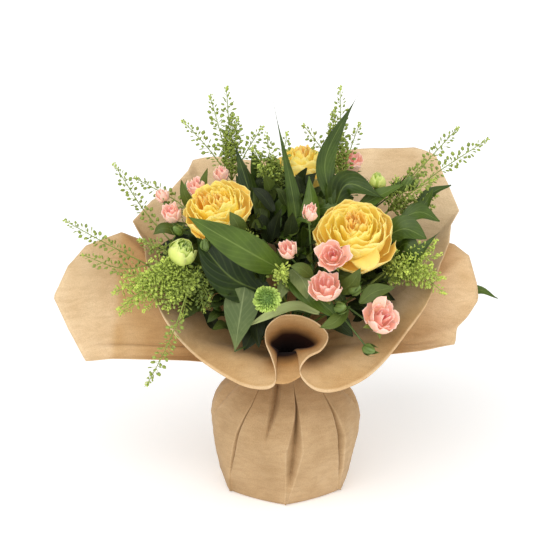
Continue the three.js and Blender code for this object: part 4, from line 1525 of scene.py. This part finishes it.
def undergrowth(count: int, seed: int, low: float, high: float, slot: int) -> list[Leaf]:
    """Sets the small leaves that fill the bunch between the flowers.

    Args:
        count: How many are tried.
        seed: Seed of their places.
        low: Azimuth in degrees where their part of the bunch starts.
        high: Azimuth where it ends.
        slot: Material slot.

    Returns:
        The leaves that cover no flower.
    """
    chance = random.Random(seed)
    leaves = []
    for _ in range(count):
        angle = math.radians(chance.uniform(low, high))
        part = math.sqrt(chance.uniform(0.0, 1.0))
        front = max(0.0, -math.sin(angle))
        height = 292.0 - 80.0 * part * part - 26.0 * part * part * front - chance.uniform(0.0, 34.0)
        x, y = -4.0 + 92.0 * part * math.cos(angle), 8.0 + 72.0 * part * math.sin(angle)
        height += 16.0 * max(0.0, 1.0 - part / 0.62) * smooth(-30.0, 20.0, y)
        base = Vector((x, y, height))
        out = Vector((math.cos(angle) * part, math.sin(angle) * part, 0.8 - 0.5 * part))
        out = (out + Vector([chance.uniform(-0.6, 0.6) for _ in range(3)])).normalized()
        long = chance.uniform(20.0, 36.0)
        middle = base + out * long * 0.5 + UP * 2.0
        tip = base + out * long - UP * chance.uniform(0.0, 5.0)
        points = above_paper((base, middle, tip))
        face = (UP * 0.7 + Vector((chance.uniform(-0.4, 0.4), -0.7, 0.0))).normalized()
        over_front = any(abs(p.x - 6.0) < 52.0 and p.y < -44.0 and p.z < 222.0 for p in points)
        if clear_of_flowers(points) and not over_front:
            leaves.append(Leaf(*points, long * chance.uniform(0.36, 0.5), face, 1.1, slot))
    return leaves


@dataclass
class Foliage:
    """A leafy stem, and the azimuths between which it fills the bunch with small leaves."""

    name: str
    node: str
    slot: tuple[int, int]
    way: Sequence[Point]
    leaves: Sequence[Leaf]
    fill: tuple[float, float]
    stem: Ends = (1.6, 1.1)
    stalk: Ends = (0.9, 0.7)

    def build(self, shop: Workshop, seed: int) -> None:
        """Builds the stem and its leaves.

        Args:
            shop: What the pieces share.
            seed: Seed of the small differences in colour.
        """
        chance = random.Random(seed)
        piece = Piece(self.name)
        line = stem_line(self.slot, self.way)
        piece.tube(line, self.stem, steps=STEM_STEPS)
        shares = [0.55 + 0.045 * k for k in range(11)]
        for leaf in self.leaves:
            base = Vector(leaf.base)
            near = min(shares, key=lambda s: (line.at(s) - base).length + max(0.0, line.at(s).z - base.z) * 2)
            start = line.at(near)
            piece.tube(Line([start, start.lerp(base, 0.5), base]), self.stalk, sides=6, steps=6)
            leaf.add(piece, chance.uniform(0.0, 0.25))
        for count, slot in SMALL_LEAVES:
            for leaf in undergrowth(count, seed * 3 + slot, *self.fill, slot):
                leaf.add(piece, chance.uniform(-0.1, 0.25), 4, 12)
        piece.finish(shop, [Look.STEM, Look.LEAF, PALE_LEAF, LEAF_IN_PAINTED_SHADE, ROSE_LEAF], self.node, slot=1)


@dataclass
class StrayLeaf:
    """The narrow leaf outside the wrap."""

    azimuth: float = 30.0
    radius: float = 21.3
    way: Sequence[Point] = ((36, 20, 146), (90, 30, 156), (150, 36, 168))
    leaf: Leaf = Leaf((148, 36, 167), (186, 40, 184), (209, 38, 176), 15, (0, -0.8, 0.6), 1.3)
    stalk: Ends = (0.8, 0.8)

    def build(self, shop: Workshop) -> None:
        """Builds the leaf and its stalk.

        Args:
            shop: What the pieces share.
        """
        piece = Piece("leaf_outside_the_wrap")
        foot = turned(self.radius, math.radians(self.azimuth), NECK_Z - 6.0)
        line = Line([foot, foot + UP * 5.5, *[Vector(p) for p in self.way]])
        piece.tube(line, self.stalk, sides=6, steps=24)
        self.leaf.add(piece, 0.2)
        piece.finish(shop, [Look.STEM, Look.LEAF], "leaf_outside", slot=1)


@dataclass
class ButtonFlower:
    """The round lime green flower, crowded with short florets."""

    at: Point = (-16.5, -96, 221)
    axis: Point = (-0.1, -0.75, 0.65)
    size: float = 12.2
    florets: int = 110
    slot: tuple[int, int] = (2, 11)
    way: Point = (-8, -52, 190)
    thick: float = 0.25
    stem: Ends = (1.6, 1.3)
    seed: int = 5

    def build(self, shop: Workshop) -> None:
        """Builds the head and its stem.

        Args:
            shop: What the pieces share.
        """
        chance = random.Random(self.seed)
        size, way = self.size, Vector(self.axis).normalized()
        head, stem = Piece("lime_button_flower"), Piece("lime_button_stem")
        pose = posed(Vector(self.at), way)

        def core(u: float, v: float) -> Vector:
            """Returns a point of the core."""
            radius = 0.0 if v in (0.0, 1.0) else size * 0.72 * math.sin(math.pi * v)
            return turned(radius, ROUND * u, -size * 0.6 * math.cos(math.pi * v))

        head.surface(16, 10, core, weld=True, pose=pose)
        for i in range(self.florets):
            part = (i + 0.5) / self.florets
            height = 1.0 - 1.5 * part
            out = turned(math.sqrt(max(0.0, 1.0 - height * height)), i * GOLDEN, height * 0.85)
            length = size * mix(0.3, 0.52, part) * chance.uniform(0.8, 1.15)
            width = size * mix(0.26, 0.5, part) * chance.uniform(0.85, 1.15)
            root = posed(out * size * 0.58, out, chance.uniform(-0.6, 0.6) + i * GOLDEN)
            wild = chance.uniform(0.0, 6.0)

            def floret(
                u: float, v: float, wide: float = width, long: float = length, run: float = wild
            ) -> Vector:
                """Returns a point of a cupped floret with a wavy rim."""
                across = (u - 0.5) * wide * math.sin(math.pi * (0.15 + 0.6 * v))
                cup = -0.3 * long * math.cos((u - 0.5) * 3.0) * math.sin(2.2 * v)
                wave = 0.12 * long * v * math.sin(u * 9.0 + run)
                return Vector((across, cup + wave, long * v * (1.0 - 0.5 * (u - 0.5) ** 2)))

            light = mix(0.05, 0.7, smooth(0.05, 0.6, part)) * chance.uniform(0.8, 1.25)
            head.surface(4, 4, floret, pose=pose @ root, tone=light)
        head.finish(shop, [Look.LIME], "button_flower", self.thick)
        foot = Vector(self.at) - way * (0.7 * size)
        stem.tube(stem_line(self.slot, [self.way, foot]), self.stem, steps=STEM_STEPS)
        stem.finish(shop, [Look.STEM], "button_stem")


ROSES = (
    Rose("right", (1, 6), [(30, -14, 190)], Flower(
        (63, -50, 266), (-0.06, -0.6, 0.8), 33, 36, 0, ROSE_CUT, 1,
        [Leaf((64, -58, 256), (71, -74, 254), (75, -81, 243), 26, (0.1, -0.9, 0.1), 1, 0, 0.2, 2.2, 0, 1.5)],
    )),
    Rose(
        "left", (1, 4), [(-34, -14, 200)],
        Flower((-62, -32, 284), (-0.25, -0.55, 0.8), 29, 34, 0, ROSE_CUT, 2),
        [Leaf((-40, -60, 268), (-43, -68, 282), (-50, -68, 294), 15, (0.3, -1, 0.2))],
    ),
    Rose("back", (1, 2), [(4, 26, 220)], Flower((17, 48, 303), (0, -0.1, 1), 27, 28, 0, ROSE_CUT)),
)

SPRAYS = (
    Spray(
        "front_spray_rose", "spray_front", (2, 13), (26, -46, 214),
        [
            Flower((2, -74, 259), (-0.2, -0.6, 0.8), 11, 13, 0.6),
            Flower((42, -100, 262), (-0.1, -0.8, 0.6), 14, 15, 0.12),
            Flower((36, -92, 230), (-0.05, -0.55, 0.85), 17, 15, 0.34),
            Flower((85, -96, 202), (0.4, -0.6, 0.7), 17, 17, 0.2, loose=[Leaf(
                (85, -91, 206), (84, -96, 216), (89, -100, 225), 13, (-0.2, -0.9, 0.2), 1.2, 0, 0.3, blunt=1.1
            )]),
            Flower((22, -56, 289), (0.1, -0.3, 0.95), 10, 12, 0.8),
        ],
        [(49, -96, 213, 6), (62, -88, 227, 5.5), (74, -106, 177, 5.5)],
        leaves=[
            Leaf((50, -80, 222), (60, -92, 236), (66, -96, 250), 15, (0, -0.9, 0.4)),
            Leaf((56, -88, 210), (44, -98, 200), (30, -102, 196), 13, (0, -0.7, 0.7)),
            Leaf((66, -92, 216), (80, -90, 226), (98, -84, 228), 14, (0, -0.8, 0.6)),
            Leaf((24, -78, 236), (14, -84, 246), (4, -84, 248), 12, (0, -0.9, 0.4)),
        ],
    ),
    Spray(
        "left_spray_rose", "spray_left", (2, 8), (-74, -12, 256),
        [
            Flower((-105, -20, 278), (-0.3, -0.4, 0.85), 12, 14, 0.5),
            Flower((-81, -5, 299), (-0.1, -0.3, 0.95), 11.5, 15, 0.4),
            Flower((-60, 14, 306), (0, -0.2, 1), 10, 13, 0.6),
            Flower((-115, 4, 288), (-0.4, -0.1, 0.9), 8.5, 12, 0.8),
        ],
        [(-98, -40, 268, 5), (-92, 16, 292, 4.5)],
        leaves=[
            Leaf((-84, -12, 276), (-92, -16, 294), (-96, -16, 310), 10, (0, -0.9, 0.3)),
            Leaf((-72, -4, 284), (-76, -6, 302), (-72, -4, 318), 9, (0, -0.9, 0.3)),
            Leaf((-98, -26, 262), (-112, -32, 268), (-122, -32, 262), 11, (0, -0.8, 0.6)),
        ],
    ),
    Spray(
        "back_spray_rose", "spray_back", (2, 3), (48, 52, 272),
        [Flower((63, 62, 306), (0.1, -0.3, 1), 15, 17, 0.2)], [(40, 74, 296, 5), (76, 60, 284, 4.5)],
    ),
    Spray(
        "left_lisianthus", "lisianthus_left", (2, 10), (-70, -40, 228),
        [Flower((-94, -52, 251), (0.3, -0.6, 0.75), 14.5, 12, cut=GLOBE_CUT)], [(-72, -66, 262, 5)],
        Look.CREAM,
    ),
    Spray(
        "right_lisianthus", "lisianthus_right", (2, 2), (74, 40, 256),
        [Flower((89, 48, 291), (0.1, 0, 1), 9, 10, cut=GLOBE_CUT)],
        [(105, 32, 288, 5), (114, 24, 294, 5), (122, 32, 292, 4)], Look.CREAM, bud_long=2.1,
    ),
)

PENNYCRESS = (
    Pennycress(
        "pennycress_upper_left", (1, 3), (-50, 20, 300),
        [[(-55, 40, 384)], [(-70, 30, 378)], [(-95, 30, 354)], [(-22, 22, 350)]],
        fill=[((-54, 34, 350), RipenessAndShade.RIPE)],
    ),
    Pennycress(
        "pennycress_top", (2, 5), (-8, 20, 282), [[(2, 25, 344)], [(-24, 2, 318)]], dense=(1,),
        fill=[((-20, 10, 336), RipenessAndShade.RIPE), ((-14, 0, 306), RipenessAndShade.SHADED)], twigs=3,
    ),
    Pennycress("pennycress_left", (2, 6), (-107, 0, 245), [
        [(-133, 8, 274), (-160, 16, 316)], [(-93, 8, 274), (-141, 18, 303)],
        [(-118, -10, 240), (-136, -10, 250)],
    ]),
    Pennycress(
        "pennycress_far_left", (2, 7), (-128, -12, 226),
        [[(-168, -10, 247), (-205, -8, 268)], [(-154, -16, 224), (-189, -18, 238)]], [(-90, 2, 212)],
    ),
    Pennycress(
        "pennycress_low_left", (2, 9), (-84, -50, 230),
        [
            [(-118, -60, 225), (-153, -62, 199)], [(-110, -60, 236), (-134, -68, 224)], [(-116, -63, 242)],
            [(-102, -96, 186), (-125, -98, 140)], [(-112, -38, 250), (-134, -30, 256)],
        ],
        [(-48, -32, 198)], (0, 1),
        [
            ((-128, -60, 206), RipenessAndShade.YOUNG), ((-114, -66, 222), RipenessAndShade.YOUNG),
            ((-104, -68, 204), RipenessAndShade.RIPE), ((-88, -66, 220), RipenessAndShade.RIPE),
            ((-76, -64, 204), RipenessAndShade.SHADED), ((-60, -62, 214), RipenessAndShade.SHADED),
        ],
    ),
    Pennycress(
        "pennycress_right", (2, 1), (98, 26, 268),
        [[(163, 35, 347)], [(189, 20, 339)], [(134, 45, 312)], [(138, -8, 308)]],
        fill=[((126, 12, 290), RipenessAndShade.RIPE)], loose=22.0,
    ),
    Pennycress(
        "pennycress_low_right", (2, 14), (92, -40, 228),
        [[(122, -54, 230), (145, -66, 216)], [(118, -48, 240), (141, -50, 248)], [(110, -66, 236)]],
        [(60, -24, 196)], (0, 1, 2),
        [
            ((130, -56, 236), RipenessAndShade.YOUNG), ((112, -56, 222), RipenessAndShade.RIPE),
            ((110, -48, 234), RipenessAndShade.SHADED),
        ],
        3,
    ),
    Pennycress(
        "pennycress_front", (2, 12), (-6, -62, 224), [[(-2, -92, 245)], [(-38, -52, 274)]],
        [(3, -36, 190)], (0,), twigs=3,
    ),
    Pennycress(
        "pennycress_back", (1, 1), (54, 36, 296), [[(52, 45, 383)], [(72, 66, 344)], [(18, 70, 342)]],
        [(34, 26, 230)], fill=[((54, 44, 350), RipenessAndShade.RIPE)],
    ),
)

FOLIAGE = (
    Foliage("front_leaves", "leaves_front", (1, 5), [(-4, -34, 198), (-2, -56, 233)], [
        Leaf((-2, -60, 236), (-38, -76, 262), (-86, -82, 293), 31, (0.2, -0.9, 0.3), 1.1, light=0.12),
        Leaf((-14, -50, 210), (-50, -60, 230), (-80, -62, 268), 38, (0.1, -0.9, 0.4), light=-0.34),
        Leaf((-46, -82, 166), (-42, -75, 192), (-37, -62, 221), 33, (-0.2, -1, 0.3), 1, 2, 0.1, 1, -0.4, 2.2),
        # The next three leaves take slot 3, the darker leaf finish: painted shade low under the front of the
        # bunch.
        Leaf((-12, -48, 190), (-28, -58, 178), (-38, -70, 162), 22, (0, -0.8, 0.6), 1, 3),
        Leaf((-22, -52, 196), (-26, -62, 180), (-24, -72, 166), 14, (0.2, -0.8, 0.5), 1, 3),
        Leaf((40, -52, 190), (50, -62, 186), (62, -70, 176), 18, (0, -0.8, 0.6), 1, 3),
        Leaf((6, -62, 238), (16, -78, 232), (24, -88, 214), 20, (0.2, -0.9, 0.3), 1, 2, light=-0.1),
        Leaf((2, -68, 230), (26, -86, 220), (50, -94, 200), 22, (0, -0.8, 0.5), 1.1),
        Leaf((31, -66, 197), (6, -69, 205), (-40, -76, 186), 11, (0.1, -0.75, 0.65), 1.4, 2, light=0.75),
        Leaf((6, -60, 222), (-2, -72, 224), (-6, -82, 214), 13, (0.3, -0.8, 0.5), 1.1, 2),
    ], (225, 300)),
    Foliage("middle_leaves", "leaves_centre", (0, 0), [(-2, -4, 200), (-4, -14, 268)], [
        Leaf((8, -30, 222), (10, -20, 276), (-12, 4, 384), 23, (0.3, -1, 0), 3.4, light=-0.2),
        Leaf((-20, -6, 248), (-32, -2, 290), (-47, 10, 337), 22, (0, -1, 0.2), 1.5, light=-0.2),
        Leaf((18, -18, 250), (24, -22, 282), (22, -10, 312), 20, (-0.3, -0.9, 0.2), 1.2),
        Leaf((4, 4, 262), (6, 14, 286), (26, 24, 303), 22, (-0.1, -0.9, 0.4), 1.1, light=-0.3),
        Leaf((-6, 2, 258), (-14, 8, 284), (-24, 10, 306), 18, (0.2, -0.9, 0.4), 1.1, light=-0.3),
        Leaf((-14, 14, 280), (-24, 18, 304), (-31, 18, 330), 19, (0.3, -0.9, 0.2), 1.2, light=-0.2),
        Leaf((-2, 16, 280), (-8, 22, 302), (-16, 26, 322), 20, (-0.1, -0.9, 0.3), 1.1, light=-0.1),
    ], (150, 225)),
    Foliage("upper_right_leaves", "leaves_upper_right", (1, 0), [(26, 0, 216), (42, -2, 282)], [
        Leaf((44, -6, 284), (38, 5, 326), (68, 15, 384), 22, (0.2, -1, 0.1), 2.2, light=-0.1),
        Leaf((44, -4, 272), (58, -2, 302), (92, -8, 290), 30, (0.1, -0.9, 0.5), 1.6, fold=0.34, light=-0.12),
        Leaf((66, 0, 278), (96, -4, 296), (110, -5, 303), 15, (-0.3, -0.7, 0.7), 1.1),
    ], (10, 80)),
    Foliage("right_leaves", "leaves_right", (2, 0), [(60, -4, 222), (104, 2, 264)], [
        Leaf((108, 0, 268), (127, 2, 274), (146, 5, 264), 17, (0, -0.7, 0.7), 1.1),
        Leaf((112, 8, 266), (131, 13, 278), (140, 15, 294), 12, (-0.4, -0.9, 0), 1.1),
        Leaf((94, -14, 254), (111, -20, 264), (131, -25, 256), 26, (0, -0.7, 0.7)),
        Leaf((90, -32, 230), (115, -48, 246), (141, -44, 268), 15, (0, -0.9, 0.4), 1.6, light=-0.2),
        Leaf((122, 16, 274), (140, 18, 289), (157, 18, 296), 12, (0, -0.6, 0.8), 1.1),
        Leaf((104, -18, 242), (112, -28, 252), (126, -34, 243), 19, (0, -0.8, 0.6), 1.1, light=-0.2),
        Leaf((98, -30, 232), (106, -42, 238), (115, -48, 226), 17, (0.1, -0.8, 0.6), 1.1, light=-0.25),
    ], (300, 370)),
    Foliage("back_leaves", "leaves_back", (2, 4), [(2, 40, 210), (4, 72, 262)], [
        Leaf((-6, 78, 262), (-34, 98, 276), (-58, 112, 276), 26, (0, 0.3, 1), 1.1),
        Leaf((8, 80, 264), (16, 104, 286), (12, 124, 288), 28, (0, 0.2, 1), 1.1),
        Leaf((14, 76, 254), (46, 96, 262), (74, 108, 262), 26, (0, 0.3, 1), 1.1),
    ], (80, 150)),
)


@dataclass
class Studio:
    """Pale floor, soft light and the camera at the photograph's angle."""

    elevation: float = 18.0
    distance: float = 1.5
    target: Point = (-0.008, 0.0, 0.211)
    per_pixel: float = 0.00095
    pixels: int = 553
    sensor: float = 36.0
    half_floor: float = 6.0
    sky: float = 0.62

    def camera(self) -> None:
        """Places the camera."""
        tilt = math.radians(self.elevation)
        data = bpy.data.cameras.new("camera")
        data.sensor_width = self.sensor
        data.lens = self.sensor * (self.distance / self.per_pixel) / self.pixels
        camera = bpy.data.objects.new("camera", data)
        away = Vector((0.0, -math.cos(tilt), math.sin(tilt))) * self.distance
        camera.location = Vector(self.target) + away
        camera.rotation_euler = (math.pi / 2 - tilt, 0.0, 0.0)
        bpy.context.scene.collection.objects.link(camera)
        bpy.context.scene.camera = camera

    def lamp(self, name: str, way: Point, strength: float, width: float) -> None:
        """Adds a wide, even studio light.

        Args:
            name: Its name.
            way: Direction from the object to the light.
            strength: Its strength.
            width: How wide it looks from the object, in degrees.
        """
        data = bpy.data.lights.new(name, "SUN")
        data.energy = strength
        data.angle = math.radians(width)
        lamp = bpy.data.objects.new(name, data)
        lamp.rotation_euler = Vector(way).to_track_quat("Z", "Y").to_euler()
        bpy.context.scene.collection.objects.link(lamp)

    def floor(self) -> None:
        """Adds the floor."""
        form = bmesh.new()
        bmesh.ops.create_grid(form, x_segments=1, y_segments=1, size=self.half_floor)
        mesh = bpy.data.meshes.new("studio_floor")
        form.to_mesh(mesh)
        form.free()
        floor = bpy.data.objects.new("studio_floor", mesh)
        bpy.context.scene.collection.objects.link(floor)
        mesh.materials.append(FloorFinish("pale floor").build({}))

    def build(self) -> None:
        """Sets up the whole stage."""
        scene = bpy.context.scene
        scene.view_settings.view_transform = "Standard"
        scene.world = bpy.data.worlds.new("studio")
        scene.world.use_nodes = True
        sky = scene.world.node_tree.nodes["Background"]
        sky.inputs["Color"].default_value = (1.0, 1.0, 1.0, 1.0)
        sky.inputs["Strength"].default_value = self.sky
        self.floor()
        self.lamp("key", (-0.5, -1.0, 1.1), 1.6, 60.0)
        self.lamp("fill", (1.0, -0.9, 0.6), 0.8, 80.0)
        self.camera()


def main() -> None:
    """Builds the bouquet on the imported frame, then the stage."""
    logging.basicConfig(level=logging.INFO, format="%(message)s")
    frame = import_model()
    LOG.info("frame with %d nodes", len(frame["nodes"]))
    shop = Workshop()
    Studio().build()
    PaperWrap().build(shop)
    frame["nodes"]["water_bag"].material_slots[0].material = shop.paints[Look.WATER]
    for seed, plants in ((11, ROSES), (23, SPRAYS), (41, PENNYCRESS), (61, FOLIAGE)):
        for i, plant in enumerate(plants):
            plant.build(shop, seed + i)
    StrayLeaf().build(shop)
    ButtonFlower().build(shop)
    shop.clear()


if __name__ == "__main__":
    main()
